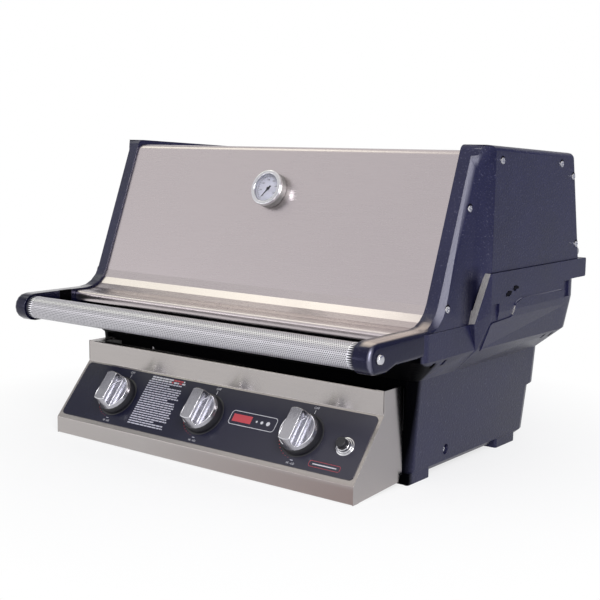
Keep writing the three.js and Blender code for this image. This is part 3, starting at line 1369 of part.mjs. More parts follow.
function igniterButton() {
  const bottom = -PANEL_SHEET - IGNITER_BORE_DEPTH + IGNITER_TRAVEL + SEAT_GAP;
  const button = turned([
    [0, bottom],
    [IGNITER_BUTTON_RADIUS, bottom],
    [IGNITER_BUTTON_RADIUS, IGNITER_BUTTON_TOP, IGNITER_BUTTON_EDGE],
    [0, IGNITER_BUTTON_TOP],
  ]);
  return placed(button, panelFrame(IGNITER_X, IGNITER_ALONG_SLOPE));
}

// Burners: a venturi mouth in front, rising to a level tube over the tray
function burner(x) {
  const outline = circle(0, 0, BURNER_RADIUS, BURNER_SEGMENTS);
  const tube = extruded(outline, 0, { steps: BURNER_STEPS, extrudePath: burnerPath() });
  const mouth = prismY(
    circle(x, SPUD_PLACE.z, BURNER_MOUTH_RADIUS, SMALL_SEGMENTS),
    BURNER_FRONT - CUT_OVERRUN,
    BURNER_FRONT + BURNER_MOUTH_DEPTH,
  );
  return solid(tube.translate(x, 0, 0)).subtract(mouth);
}

// Heat plates: folded sheets over the burners
function heatPlate(x) {
  const half = HEAT_PLATE_HALF_WIDTH;
  const bottom = HEAT_PLATE_Z + SEAT_GAP;
  const ridge = bottom + HEAT_PLATE_RISE;
  const path = rounded(
    [
      [x + half, bottom],
      [x + half - HEAT_PLATE_FLAT, bottom],
      [x, ridge, HEAT_PLATE_FLAT],
      [x - half + HEAT_PLATE_FLAT, bottom],
      [x - half, bottom],
    ],
    false,
  );
  const front = INNER_FRONT + SEAT_GAP;
  const rear = LOWER_REAR - CAST_WALL - SEAT_GAP * 2;
  const sheet = prismY(band(path, -HEAT_PLATE_SHEET), front, rear);
  const pitch = (rear - front) / (HEAT_PLATE_SLOTS + 1);
  const slots = Array.from({ length: HEAT_PLATE_SLOTS }, (_, i) => {
    const y = front + pitch * (i + 1);
    const across = [y - HEAT_PLATE_SHEET * 2, y + HEAT_PLATE_SHEET * 2];
    return [-1, 1].map((side) => {
      const middle = x + side * half * HEAT_SLOT_SHARE;
      const along = [middle - HEAT_PLATE_FLAT, middle + HEAT_PLATE_FLAT];
      return block(along, across, [bottom - CUT_OVERRUN, ridge + CUT_OVERRUN]);
    });
  });
  return cut(sheet, slots.flat());
}

// Cooking grids: a frame with parallel bars running front to back
function cookingGrid(side) {
  const front = BOX_FRONT + CAST_WALL + LID_GAP;
  const rear = BOX_REAR - CAST_WALL - LID_GAP;
  const plate = prismZ(
    rectangle(GRID_HALF_GAP, front, GRID_OUTER, rear, GRID_FRAME / 2),
    GRID_Z + SEAT_GAP,
    GRID_Z + SEAT_GAP + GRID_THICKNESS,
  );
  const inside = [GRID_HALF_GAP + GRID_FRAME, GRID_OUTER - GRID_FRAME];
  const pitch = (inside[1] - inside[0]) / GRID_SLOTS;
  const slotWidth = pitch * (1 - GRID_BAR_SHARE);
  const slots = Array.from({ length: GRID_SLOTS }, (_, i) => {
    const x = inside[0] + pitch * (i + 0.5);
    return block(
      [x - slotWidth / 2, x + slotWidth / 2],
      [front + GRID_FRAME * 2, rear - GRID_FRAME * 2],
      [GRID_Z - CUT_OVERRUN, GRID_Z + GRID_THICKNESS + CUT_OVERRUN],
    );
  });
  const grid = cut(plate, slots);
  return side > 0 ? grid : mirrored(grid);
}

// Grease tray with its closing plate and pull at the back
function greaseTray() {
  const half = TRAY_HALF_WIDTH;
  const front = INNER_FRONT + TRAY_SETBACK;
  const wallRear = STEP_REAR;
  const pan = block(
    [-half, half],
    [front, wallRear + SEAT_GAP + TRAY_SHEET / 2],
    [TRAY_FLOOR, TRAY_TOP],
  );
  const inside = block(
    [-half + TRAY_SHEET, half - TRAY_SHEET],
    [front + TRAY_SHEET, wallRear - TRAY_BACK],
    [TRAY_FLOOR + TRAY_SHEET, TRAY_TOP + CUT_OVERRUN],
  );
  const margin = TRAY_PLATE_MARGIN;
  const plateFront = wallRear + SEAT_GAP;
  const plate = block(
    [-half - margin, half + margin],
    [plateFront, plateFront + TRAY_SHEET],
    [TRAY_FLOOR, TRAY_TOP + margin],
  );
  const pull = block(
    [-TRAY_PULL_WIDTH / 2, TRAY_PULL_WIDTH / 2],
    [plateFront, plateFront + TRAY_PULL_REACH],
    [TRAY_TOP - TRAY_SHEET * 2, TRAY_TOP],
  );
  return union([pan.subtract(inside), plate, pull]);
}

// Ignition electrode beside the right-hand burner
function electrode() {
  const x = KNOB_X[2] + BURNER_RADIUS + ELECTRODE_GAP;
  const front = INNER_FRONT + SEAT_GAP;
  const rear = front + ELECTRODE_LENGTH;
  const around = (radius) => circle(x, BURNER_LEVEL, radius, SMALL_SEGMENTS);
  const insulator = prismY(around(ELECTRODE_RADIUS), front, rear);
  const wire = prismY(around(WIRE_RADIUS), rear - WIRE_RADIUS, rear + WIRE_LENGTH);
  return union([insulator, wire]);
}

const grill = new THREE.Group();
grill.add(named("firebox_casting", fireboxCasting(), POWDER_COAT));
grill.add(named("lid_end_cap_left", endCap(-1), POWDER_COAT));
grill.add(named("lid_end_cap_right", endCap(1), POWDER_COAT));
grill.add(named("hood_front_sheet", hoodFrontSheet(), BRUSHED_STEEL));
grill.add(named("hood_rear_sheet", hoodRearSheet(), BRUSHED_STEEL));
grill.add(named("handle_tube", handleTube(), PERFORATED_STEEL));
grill.add(named("handle_core", handleCore(), BLACK_PLASTIC));
grill.add(named("handle_bolt_left", handleBolt(-1), CHROME));
grill.add(named("handle_bolt_right", handleBolt(1), CHROME));
grill.add(named("hinge_pin_left", hingePin(-1), BRUSHED_STEEL));
grill.add(named("hinge_pin_right", hingePin(1), BRUSHED_STEEL));
grill.add(named("thermometer_case", gaugeCase(), CHROME));
grill.add(named("thermometer_dial", gaugeDial(), DIAL_WHITE));
grill.add(named("thermometer_pointer", gaugePointer(), POINTER_BLACK));
grill.add(named("thermometer_glass", gaugeGlass(), LENS));
grill.add(named("thermometer_nut", gaugeNut(), BRASS));
grill.add(named("control_panel", panelShell(), PANEL_STEEL));
grill.add(named("label_plate", labelPlate(), LABEL_FILM));
grill.add(named("panel_bracket_left", panelBracket(-1), BRUSHED_STEEL));
grill.add(named("panel_bracket_right", panelBracket(1), BRUSHED_STEEL));
KNOB_X.forEach((x, i) => {
  const place = KNOB_NAMES[i];
  grill.add(named(`knob_${place}`, knob(x), CHROME));
  grill.add(named(`valve_stem_${place}`, valveStem(x), BRASS));
  grill.add(named(`valve_plug_${place}`, valvePlug(x), BRASS));
  grill.add(named(`valve_body_${place}`, valveBody(x), BRASS));
  grill.add(named(`burner_${place}`, burner(x), BURNER_STEEL));
  grill.add(named(`heat_plate_${place}`, heatPlate(x), BURNER_STEEL));
});
grill.add(named("gas_manifold", manifold(), BURNER_STEEL));
grill.add(named("gas_inlet_fitting", inletFitting(), BRASS));
grill.add(named("igniter_ring", igniterRing(), CHROME));
grill.add(named("igniter_body", igniterBody(), BLACK_PLASTIC));
grill.add(named("igniter_button", igniterButton(), BLACK_PLASTIC));
grill.add(named("ignition_electrode", electrode(), CERAMIC));
grill.add(named("cooking_grid_left", cookingGrid(-1), CAST_GRID));
grill.add(named("cooking_grid_right", cookingGrid(1), CAST_GRID));
grill.add(named("grease_tray", greaseTray(), BRUSHED_STEEL));

// The origin lies under the middle of the whole grill.
const extent = new THREE.Box3().setFromObject(grill);
const middle = extent.getCenter(new THREE.Vector3());
grill.position.set(-middle.x, -middle.y, -extent.min.z);

export default grill;
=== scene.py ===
# %% [markdown]
# # A built-in gas grill, dressed step by step
# The grill arrives as a measured model: every casting, sheet, knob and burner already has
# its true size and place. This lesson gives those pieces their finishes, adds the small
# things a drawing leaves out, such as screws, dial marks and the mesh on the handle, and
# sets up a studio to look at them in. Blender and the model both work in metres.

# %% Load the measured model
import json
import math
import random
from functools import partial

import bmesh
import bpy
from mathutils import Matrix, Vector
from mathutils.bvhtree import BVHTree

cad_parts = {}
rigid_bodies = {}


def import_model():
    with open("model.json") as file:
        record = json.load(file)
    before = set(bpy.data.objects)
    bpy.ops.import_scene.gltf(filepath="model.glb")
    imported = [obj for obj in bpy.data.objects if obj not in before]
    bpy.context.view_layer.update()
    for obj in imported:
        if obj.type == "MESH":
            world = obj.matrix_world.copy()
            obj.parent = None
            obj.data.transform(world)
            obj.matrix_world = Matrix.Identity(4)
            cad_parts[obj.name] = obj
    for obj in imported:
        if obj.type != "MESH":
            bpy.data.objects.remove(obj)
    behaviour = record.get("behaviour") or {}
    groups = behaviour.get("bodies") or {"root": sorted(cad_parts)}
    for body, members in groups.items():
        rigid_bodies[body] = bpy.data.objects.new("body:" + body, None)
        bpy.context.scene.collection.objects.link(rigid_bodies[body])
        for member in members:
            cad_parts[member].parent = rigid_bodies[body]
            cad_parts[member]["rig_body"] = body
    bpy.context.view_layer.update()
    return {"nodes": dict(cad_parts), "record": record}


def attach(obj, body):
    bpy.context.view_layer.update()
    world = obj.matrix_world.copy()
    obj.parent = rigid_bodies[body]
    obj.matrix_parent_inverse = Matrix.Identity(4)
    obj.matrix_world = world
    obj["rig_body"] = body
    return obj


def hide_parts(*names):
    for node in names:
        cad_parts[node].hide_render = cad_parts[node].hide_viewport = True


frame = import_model()

# %% [markdown]
# ## Millimetres and places
# The sizes of such an appliance are read in millimetres, so one helper turns them into
# metres. A second one turns a point of the drawing into the model's own frame, whose origin
# stands under the middle of the grill. Others place a piece and let it ride on its body.

# %% Helpers for sizes and places
MM = 0.001
DRAWING_TO_MIDDLE = 59.25
SIDES = (("left", -1), ("right", 1))
nodes, scene = frame["nodes"], bpy.context.scene


def mm(*values):
    return Vector([v * MM for v in values])


def spot(x, y, z):
    return mm(x, y + DRAWING_TO_MIDDLE, z)


def around(radius, angle, x=0.0, y=0.0):
    return x + radius * math.cos(angle), y + radius * math.sin(angle)


def placed_axes(origin, *axes):
    place = Matrix(axes).transposed().to_4x4()
    place.translation = origin
    return place


def add_object(name, mesh):
    thing = bpy.data.objects.new(name, mesh)
    scene.collection.objects.link(thing)
    return thing


def fitted(name, mesh, place, body):
    """Add a piece that rides on one body and wears one finish of the model."""
    mesh.name = name
    piece = add_object(name, mesh)
    piece.matrix_world = place
    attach(piece, body)
    return piece


print("the front edge of the panel is at", spot(0, -311, 0))

# %% [markdown]
# ## The camera
# The photograph was taken from the right front, a little above the handle, with a long lens.
# A camera can be aimed with a constraint, but the horizon of this photograph leans a little,
# so its three axes are written out from the turn, the tilt and the lean, and nothing else
# has to be kept in step.

# %% Place the camera
turn, tilt, lean = 0.656968, 0.140603, 0.0131604
sideways = Vector((math.cos(turn), math.sin(turn), 0))
backward = Vector((math.sin(turn) * math.cos(tilt), -math.cos(turn) * math.cos(tilt),
                   math.sin(tilt)))
upward = backward.cross(sideways)
right = sideways * math.cos(lean) + upward * math.sin(lean)
above = upward * math.cos(lean) - sideways * math.sin(lean)
camera = add_object("camera", bpy.data.cameras.new("camera"))
camera.data.sensor_width = 36
camera.data.lens = 67.42
camera.data.clip_end = 100
camera.matrix_world = placed_axes(mm(1107.06, -1425.61, 474.92), right, above, backward)
scene.camera = camera
scene.view_settings.view_transform = "Standard"
print("camera stands", round(camera.location.length, 2), "m from the middle of the grill")

# %% [markdown]
# ## Writing materials as short recipes
# A material is a graph of nodes, and clicking it together in code takes many lines. One
# helper fills in the sockets of a node, with plain values or with the outputs of other
# nodes, and the rest wrap the few kinds of node that nearly every recipe uses. Sums and
# products get short names of their own, because the recipes are full of them.

# %% Helpers for material graphs
MIX_FACTOR, MIX_FIRST, MIX_SECOND, MIX_RESULT = 0, 6, 7, 2


def fill(node, sockets):
    """Give sockets of a node a plain value each, or the output of another node."""
    for key, value in sockets.items():
        if isinstance(value, bpy.types.NodeSocket):
            value.id_data.links.new(value, node.inputs[key])
        else:
            node.inputs[key].default_value = value
    return node


def put(tree, kind, sockets=(), **settings):
    made = tree.nodes.new(kind)
    for key, value in settings.items():
        setattr(made, key, value)
    return fill(made, dict(sockets))


def fed(kind, sockets, **settings):
    """Put a node into the tree that its inputs come from."""
    tree = next(v.id_data for v in sockets.values() if isinstance(v, bpy.types.NodeSocket))
    return put(tree, kind, sockets, **settings)


def coordinate(tree, output):
    return put(tree, "ShaderNodeTexCoord").outputs[output]


def start_material(name):
    material = bpy.data.materials.new(name)
    material.use_nodes = True
    tree = material.node_tree
    return material, tree.nodes["Principled BSDF"], coordinate(tree, "Object")


def split(vector):
    return fed("ShaderNodeSeparateXYZ", {0: vector}).outputs


def math_node(operation, first, *others, clamp=False):
    """One Math node, or a chain of them where more than two values are given."""
    for other in others or (0.0,):
        first = fed("ShaderNodeMath", {0: first, 1: other}, operation=operation,
                    use_clamp=clamp).outputs[0]
    return first


plus, minus, times, over, greatest = [
    partial(math_node, operation)
    for operation in ("ADD", "SUBTRACT", "MULTIPLY", "DIVIDE", "MAXIMUM")]


def mix_color(factor, *colors):
    first, second = [(*color, 1) if isinstance(color, tuple) else color for color in colors]
    sockets = {MIX_FACTOR: factor, MIX_FIRST: first, MIX_SECOND: second}
    return fed("ShaderNodeMix", sockets, data_type="RGBA").outputs[MIX_RESULT]


def map_range(value, low_in, high_in, low_out=0.0, high_out=1.0):
    sockets = {"Value": value, "From Min": low_in, "From Max": high_in,
               "To Min": low_out, "To Max": high_out}
    return fed("ShaderNodeMapRange", sockets).outputs["Result"]


def noise(place, scale, **settings):
    sockets = {"Vector": place, "Scale": scale}
    sockets.update((key.capitalize(), value) for key, value in settings.items())
    return fed("ShaderNodeTexNoise", sockets).outputs["Fac"]


def bump(height, strength, distance):
    sockets = {"Height": height, "Strength": strength, "Distance": distance}
    return fed("ShaderNodeBump", sockets).outputs["Normal"]


print("material helpers ready")

# %% [markdown]
# ## Effects that several finishes share
# Brushed sheet, soft smudges and the pebbled skin of a powder coat turn up on many pieces.
# Each is built once as a node group with named sockets and is placed in a material with its
# own numbers. A group gives out masks and heights only, and the shader stays outside it.

# %% A helper that starts a group
NUMBER, VECTOR = "NodeSocketFloat", "NodeSocketVector"


def start_group(name, knob, kind, value, outputs):
    """Start a group that takes a place and one knob, and gives out numbers."""
    group = bpy.data.node_groups.new(name, "ShaderNodeTree")
    group.interface.new_socket(name="Place", in_out="INPUT", socket_type=VECTOR)
    socket = group.interface.new_socket(name=knob, in_out="INPUT", socket_type=kind)
    socket.default_value = value
    for label in outputs:
        group.interface.new_socket(name=label, in_out="OUTPUT", socket_type=NUMBER)
    return group, put(group, "NodeGroupInput").outputs, put(group, "NodeGroupOutput")


def place_group(group, place, value):
    return fed("ShaderNodeGroup", {0: place, 1: value}, node_tree=group).outputs


print("group helper ready")

# %% Brushed grain
brushed, given, result = start_group("Brushed Grain", "Stretch", VECTOR, (40, 900, 900),
                                     ("Tone", "Height"))
scaled = fed("ShaderNodeVectorMath", {0: given["Place"], 1: given["Stretch"]},
             operation="MULTIPLY").outputs[0]
streaks = noise(scaled, 1.0, detail=4.0, roughness=0.65)
fill(result, {"Tone": map_range(streaks, 0.3, 0.7), "Height": streaks})
print(brushed.name, "has", len(brushed.nodes), "nodes")

# %% Pebbled powder coat
pebbled, given, result = start_group("Pebbled Coat", "Pebbles Per Metre", NUMBER, 420.0,
                                     ("Mottle", "Fleck", "Height"))
place, density = given["Place"], given["Pebbles Per Metre"]
cells = fed("ShaderNodeTexVoronoi", {"Vector": place, "Scale": density},
            feature="SMOOTH_F1").outputs["Distance"]
ripple, broad = noise(place, density, detail=3.0), noise(place, 9.0, detail=5.0)
fill(result, {"Mottle": map_range(broad, 0.35, 0.65),
              "Fleck": map_range(ripple, 0.60, 0.72, 0.0, 0.5), "Height": plus(cells, ripple)})
print(pebbled.name, "has", len(pebbled.nodes), "nodes")

# %% Soft smudges
smudged, given, result = start_group("Soft Smudges", "Size", NUMBER, 6.0, ("Mask",))
cloud = noise(given["Place"], given["Size"], detail=6.0, roughness=0.6)
fill(result, {"Mask": map_range(cloud, 0.42, 0.72)})
print(smudged.name, "has", len(smudged.nodes), "nodes")

# %% [markdown]
# ## Brushed stainless sheet
# The hood and the panel are rolled stainless steel with a fine grain along the width. The
# grain could be an image, but a noise stretched a hundred times along X gives lines of any
# length that never repeat. It only nudges the colour and the roughness, because the real
# sheet looks almost plain from a metre away. The panel's lower right mirrors the ground, so a
# mask from its place and slope paints that reflection into its colour as a darker, warmer tone.

# %% Steel recipes
def steel(name, dark, light, rough, stretch=(25, 2600, 2600), smudges=0.06, relief=0.012):
    material, shader, place = start_material(name)
    grain = place_group(brushed, place, stretch)
    marks = place_group(smudged, place, 5.0)["Mask"]
    fill(shader, {
        "Metallic": 1.0, "Base Color": mix_color(grain["Tone"], dark, light),
        "Roughness": plus(times(marks, smudges), times(grain["Tone"], 0.05), rough),
        "Normal": bump(grain["Height"], relief, 0.0005)})
    return material


hood_steel = steel("brushed hood steel", (0.515, 0.465, 0.475), (0.55, 0.50, 0.51), 0.24)
panel_steel = steel("bright panel steel", (0.42, 0.395, 0.385), (0.455, 0.427, 0.415), 0.17)
plain_steel = steel("plain steel", (0.42, 0.42, 0.42), (0.48, 0.48, 0.48), 0.33)
grid_steel = steel("satin grid steel", (0.30, 0.30, 0.31), (0.40, 0.40, 0.41), 0.30,
                   (60, 60, 60), 0.12)
print("steel finishes", 4)

# %% Low sheen and a painted warm reflection on the panel
PANEL_RIGHT, PANEL_FOOT, PANEL_FACE = (-0.10, 0.29), (0.030, 0.020), (-0.6, -0.9)
tree = panel_steel.node_tree
shader = tree.nodes["Principled BSDF"]
at, lean = [split(coordinate(tree, output)) for output in ("Object", "Normal")]
# Painted reflection of the ground: darker and warmer at the lower right of the front faces.
ground_reflection = times(map_range(at["X"], *PANEL_RIGHT, 0.0, 0.75),
                  map_range(at["Z"], *PANEL_FOOT), map_range(lean["Y"], *PANEL_FACE))
plain_tone = shader.inputs["Base Color"].links[0].from_socket
fill(shader, {"Anisotropic": 0.85, "Anisotropic Rotation": 0.25,
              "Base Color": mix_color(ground_reflection, plain_tone, (0.27, 0.20, 0.185))})
print(panel_steel.name, len(tree.nodes), "nodes")

# %% [markdown]
# ## Powder-coated castings
# The firebox and the hood's end caps are sand-cast aluminium under a navy-black powder coat.
# Up close the coat is pebbled, so it scatters a lamp into grains. A bump from the pebble
# group does this, and a slow mottle keeps the large walls from looking flat. A few zones
# have light or shade painted into the colour. Painting them would need an image, so each
# zone is a product of soft edges: painted shade at the front of the firebox, in the gap behind
# the handle and beside each wing, a painted pale reflection on top of the right arm and a
# painted highlight along the front edge of the end caps. The arms are darker and smoother.

# %% Powder coat recipe
# Each pair says where a soft edge starts and where it ends, in metres or as a normal's part.
FRONT_SHADE_DEPTH, FRONT_SHADE_HALF_WIDTH = (-0.118, -0.128), (0.3405, 0.338)
GAP_FRONT, GAP_REAR, GAP_HALF_WIDTH = (-0.224, -0.2215), (-0.196, -0.199), (0.3215, 0.3205)
WING_SHADE_FRONT, WING_SHADE_REAR = (-0.076, -0.052), (-0.030, -0.036)
WING_SHADE_TOP, WING_SHADE_SIDE = (0.306, 0.282), (0.341, 0.344)
ARM_REAR, ARM_TOP, ARM_RIGHT, LEVEL = (-0.125, -0.155), (0.262, 0.245), (0.322, 0.328), (0.75, 0.92)
EDGE_LEAN_Y, EDGE_LEAN_X, EDGE_TOP = (-0.30, -0.62), (0.25, 0.55), (0.462, 0.452)
EDGE_DEPTH, HOOD_SLOPE, HOOD_FOOT = (0.012, 0.008), -0.3753, 0.2171


def navy_coat(name, front_shade=0.0, on_lid=0.0):
    material, shader, place = start_material(name)
    coat = place_group(pebbled, place, 400.0)
    at, lean = split(place), split(coordinate(material.node_tree, "Normal"))
    from_middle, side_lean = [math_node("ABSOLUTE", value["X"]) for value in (at, lean)]
    behind_hood = plus(at["Y"], times(at["Z"], HOOD_SLOPE), HOOD_FOOT)

    def zone(strength, *edges):
        return times(strength, *[map_range(value, *ends) for value, ends in edges])

    # Painted shade, near black: the front of the firebox and the gap behind the handle.
    front = zone(front_shade, (at["Y"], FRONT_SHADE_DEPTH), (from_middle, FRONT_SHADE_HALF_WIDTH))
    gap = zone(on_lid, (at["Y"], GAP_FRONT), (at["Y"], GAP_REAR), (from_middle, GAP_HALF_WIDTH))
    painted_shade = greatest(front, gap)
    # Painted shade beside each wing of the end caps.
    wing_shade = zone(0.85 * on_lid, (at["Y"], WING_SHADE_FRONT), (at["Y"], WING_SHADE_REAR),
                   (at["Z"], WING_SHADE_TOP), (from_middle, WING_SHADE_SIDE))
    arm = zone(on_lid, (at["Y"], ARM_REAR), (at["Z"], ARM_TOP))
    # Painted reflection: a pale patch on top of the right arm.
    arm_top_reflection = zone(arm, (lean["Z"], LEVEL), (at["X"], ARM_RIGHT))
    # Painted highlight: a paler, rougher band along the front edge of the end caps.
    edge = zone(on_lid, (lean["Y"], EDGE_LEAN_Y), (side_lean, EDGE_LEAN_X),
                (behind_hood, EDGE_DEPTH), (at["Z"], EDGE_TOP))
    # Mottle and flecks are the coat's own colour and the arms are darker; the other colours paint
    # shade, a reflection and a highlight.
    tone = mix_color(coat["Mottle"], (0.007, 0.0075, 0.032), (0.012, 0.0125, 0.045))
    for mask, color in ((coat["Fleck"], (0.10, 0.10, 0.15)),
                        (times(arm, 0.6), (0.003, 0.0033, 0.018)),
                        (times(edge, 0.85), (0.15, 0.15, 0.20)),
                        (times(arm_top_reflection, 0.85), (0.62, 0.53, 0.46)),
                        (wing_shade, (0.0035, 0.0035, 0.018)), (painted_shade, (0.0012, 0.0012, 0.002))):
        tone = mix_color(mask, tone, color)
    satin = map_range(coat["Mottle"], 0.0, 1.0, 0.30, 0.37)
    changes = [times(arm, -0.17), times(edge, 0.14), times(wing_shade, 0.45), times(painted_shade, 0.35)]
    height = times(coat["Height"], map_range(arm, 0.0, 1.0, 1.0, 0.3))
    # Metallic with a near-black colour keeps the painted shade from reflecting; the arms are half
    # metallic.
    fill(shader, {"Specular IOR Level": 0.4, "Base Color": tone,
                  "Metallic": greatest(painted_shade, wing_shade, times(arm, 0.5)),
                  "Roughness": plus(satin, *changes), "Normal": bump(height, 0.42, 0.0006)})
    return material


powder_coat = navy_coat("navy black powder coat", on_lid=1.0)
firebox_coat = navy_coat("powder coat sooted at the front", front_shade=1.0)
print("coats", powder_coat.name, firebox_coat.name)

# %% Painted shade for recesses, black for seams, and bare milled metal
shade_and_seam_black, shader, place = start_material("thin coat in the recesses")
patchy = mix_color(noise(place, 300.0), (0.001, 0.001, 0.002), (0.004, 0.004, 0.008))
fill(shader, {"Base Color": patchy, "Roughness": 0.8, "Specular IOR Level": 0.1})
milled_edge = steel("milled edge of the casting", (0.55, 0.53, 0.51), (0.80, 0.78, 0.74), 0.42,
                    (700, 700, 60))
print(shade_and_seam_black.name, "and", milled_edge.name)

# %% [markdown]
# ## Plated, printed, moulded and burnt finishes
# Chrome on the knobs shows hairline swirls, the film on the panel has a fine satin tooth,
# brass valves carry lathe lines, and burner steel turns straw and blue where the flame
# heats it. Plastic, glaze, ink and the dial's paint are plain by comparison, so one fine
# noise in tone and roughness serves them all.

# %% A recipe for plain finishes
def cloudy(name, scale, dark, light, rough, **settings):
    material, shader, place = start_material(name)
    cloud = noise(place, scale, **settings)
    fill(shader, {"Base Color": mix_color(cloud, dark, light),
                  "Roughness": map_range(cloud, 0.3, 0.7, *rough)})
    return material


def ink(name, dark, light):
    return cloudy(name, 700.0, dark, light, (0.4, 0.55), detail=3.0)


black_plastic = cloudy("moulded black plastic", 1800.0, (0.008, 0.008, 0.012),
                       (0.014, 0.014, 0.018), (0.38, 0.5), detail=3.0)
white_ceramic = cloudy("glazed ceramic", 120.0, (0.78, 0.75, 0.68), (0.86, 0.84, 0.78),
                       (0.16, 0.26))
dial_white = cloudy("printed dial face", 160.0, (0.47, 0.47, 0.53), (0.60, 0.60, 0.66),
                    (0.4, 0.5), detail=4.0)
ink_black = cloudy("black ink", 900.0, (0.012, 0.012, 0.016), (0.022, 0.022, 0.028), (0.45, 0.6))
pale_ink = ink("pale panel ink", (0.52, 0.52, 0.57), (0.66, 0.66, 0.70))
grey_ink = ink("grey panel ink", (0.42, 0.42, 0.50), (0.58, 0.58, 0.66))
red_ink = ink("red panel ink", (0.40, 0.035, 0.05), (0.52, 0.06, 0.08))
ridge_coat = ink("coat worn pale on a ridge", (0.085, 0.085, 0.12), (0.14, 0.14, 0.18))
print("plain finishes", 8)

# %% Chrome, brass and worked steel
chrome = steel("polished chrome", (0.60, 0.60, 0.63), (0.68, 0.68, 0.70), 0.07,
               (300, 300, 300), 0.05, 0.004)
# Near-white metal: the handle's points, and the knobs' beads, which are painted highlights.
bright_points_and_highlights = steel("polished ridge", (0.84, 0.84, 0.88), (0.92, 0.92, 0.95), 0.34,
                      (200, 200, 200), 0.05, 0.002)
knob_steel = steel("brushed knob face", (0.40, 0.40, 0.44), (0.50, 0.50, 0.54), 0.20,
                   (900, 120, 120), 0.05, 0.02)
case_steel = steel("satin case wall", (0.26, 0.26, 0.26), (0.36, 0.36, 0.35), 0.50,
                   (300, 300, 300), 0.08, 0.004)
brass = steel("turned brass", (0.46, 0.28, 0.08), (0.58, 0.38, 0.13), 0.26, (900, 90, 90), 0.1)
print("worked metals", 5)

# %% Dark film of the panel
label_film, shader, place = start_material("dark panel film")
marks = place_group(smudged, place, 7.0)["Mask"]
film = mix_color(marks, (0.009, 0.0095, 0.025), (0.013, 0.0135, 0.032))
# Painted light: the film is lighter towards its right.
painted_light_to_right = map_range(split(place)["X"], -0.05, 0.29)
fill(shader, {"Specular IOR Level": 0.35,
              "Base Color": mix_color(painted_light_to_right, film, (0.036, 0.035, 0.050)),
              "Roughness": map_range(marks, 0.0, 1.0, 0.20, 0.27),
              "Normal": bump(noise(place, 2600.0), 0.05, 0.0002)})
print(label_film.name, len(shader.id_data.nodes), "nodes")

# %% Burner steel with heat tint
burner_steel, shader, place = start_material("heat tinted burner steel")
grain = place_group(brushed, place, (300, 40, 300))
heat = place_group(smudged, place, 11.0)["Mask"]
straw = mix_color(grain["Tone"], (0.34, 0.31, 0.27), (0.42, 0.38, 0.33))
fill(shader, {"Metallic": 1.0, "Base Color": mix_color(heat, straw, (0.24, 0.20, 0.19)),
              "Roughness": map_range(heat, 0.0, 1.0, 0.3, 0.5),
              "Normal": bump(grain["Height"], 0.03, 0.0005)})
print(burner_steel.name, len(shader.id_data.nodes), "nodes")

# %% Glass of the gauge
clear_glass, shader, place = start_material("clear gauge glass")
haze = mix_color(noise(place, 90.0), (0.94, 0.95, 1.0), (1.0, 1.0, 1.0))
fill(shader, {"Base Color": haze, "Roughness": 0.02, "Transmission Weight": 1.0, "IOR": 1.12})
print(clear_glass.name, len(shader.id_data.nodes), "nodes")

# %% [markdown]
# ## The mesh on the handle
# The handle is a steel tube covered in raised mesh that keeps the hand off the hot metal.
# Thousands of real holes would weigh the model down, so the pattern is drawn by arithmetic:
# the distance along the tube and the angle round it give a grid, and every other row is
# shifted by half a step. The same grid darkens the holes and sinks them in the bump, and
# near the ends it cuts the mesh into points.

# %% Handle mesh recipe
handle_y, handle_z = (v * MM for v in (-333 + DRAWING_TO_MIDDLE, 206))
mesh_swell = 1.1
hole_pitch, holes_round, mesh_end, tooth_length = 3.3 * MM, 42, 308 * MM, 0.5 * MM
handle_mesh, shader, place = start_material("raised handle mesh")
along = split(place)
angle = math_node("ARCTAN2", minus(along["Z"], handle_z), minus(along["Y"], handle_y))
row = times(angle, holes_round / math.tau)
parity = math_node("FLOORED_MODULO", math_node("FLOOR", row), 2.0)
shifted = plus(times(parity, 0.5), over(along["X"], hole_pitch))
across, upright = [minus(math_node("FRACT", value), 0.5) for value in (shifted, row)]
apart = math_node("SQRT", plus(times(across, across), times(upright, upright)))
hole = map_range(apart, 0.20, 0.36, 1.0, 0.0)
tooth = over(minus(mesh_end, math_node("ABSOLUTE", along["X"])), tooth_length)
from_row = times(math_node("ABSOLUTE", upright), 2.0)
dark = greatest(hole, math_node("GREATER_THAN", from_row, tooth))
fill(shader, {"Metallic": 0.8,
              "Base Color": mix_color(dark, (0.60, 0.59, 0.62), (0.06, 0.06, 0.08)),
              "Roughness": map_range(dark, 0.0, 1.0, 0.33, 0.7),
              "Normal": bump(minus(1.0, hole), 0.7, 0.0006)})
print("holes round the handle", holes_round, "and along it", round(2 * mesh_end / hole_pitch))

# %% [markdown]
# ## Smooth, softly edged pieces
# A measured model has exact, knife-sharp edges and flat facets on its round parts. Real sheet
# and castings have a small radius that catches the light. Each piece is copied, its facets
# are merged, its sharp edges are bevelled by a fraction of a millimetre and its curves are
# shaded smooth. The copy then stands in for the bare model, in exactly the same place. The
# front edge of an end cap has a much larger radius, so its chamfer is widened first.

# %% Widen the front edge of an end cap
rounded_fronts = ("lid_end_cap_left", "lid_end_cap_right")
cap_side, widen, above_arm = 345 * MM, 6.5 * MM, 224 * MM


def round_front(work):
    """Widen the chamfer of the front edge and return its lines, which stay smooth."""
    slopes = {}
    for face in work.faces:
        near = all(abs(v.co.x) > cap_side - 5 * MM and v.co.z > above_arm for v in face.verts)
        if near and 0.4 < abs(face.normal.x) < 0.95 and face.normal.y < -0.05:
            for v in face.verts:
                slope = Vector((0, face.normal.y, face.normal.z))
                slopes[v] = slopes.get(v, Vector()) + slope
    for v, slope in slopes.items():
        slope.normalize()
        share = min(1.0, max(0.0, (-slope.y - 0.3) / 0.45))
        if abs(v.co.x) > cap_side - 0.3 * MM:
            v.co -= slope * widen * share
        else:
            v.co.x -= math.copysign(widen, v.co.x) * share
    print("front edge points", len(slopes))
    return {line for line in work.edges if all(v in slopes for v in line.verts)}


print("edges to widen", len(rounded_fronts))

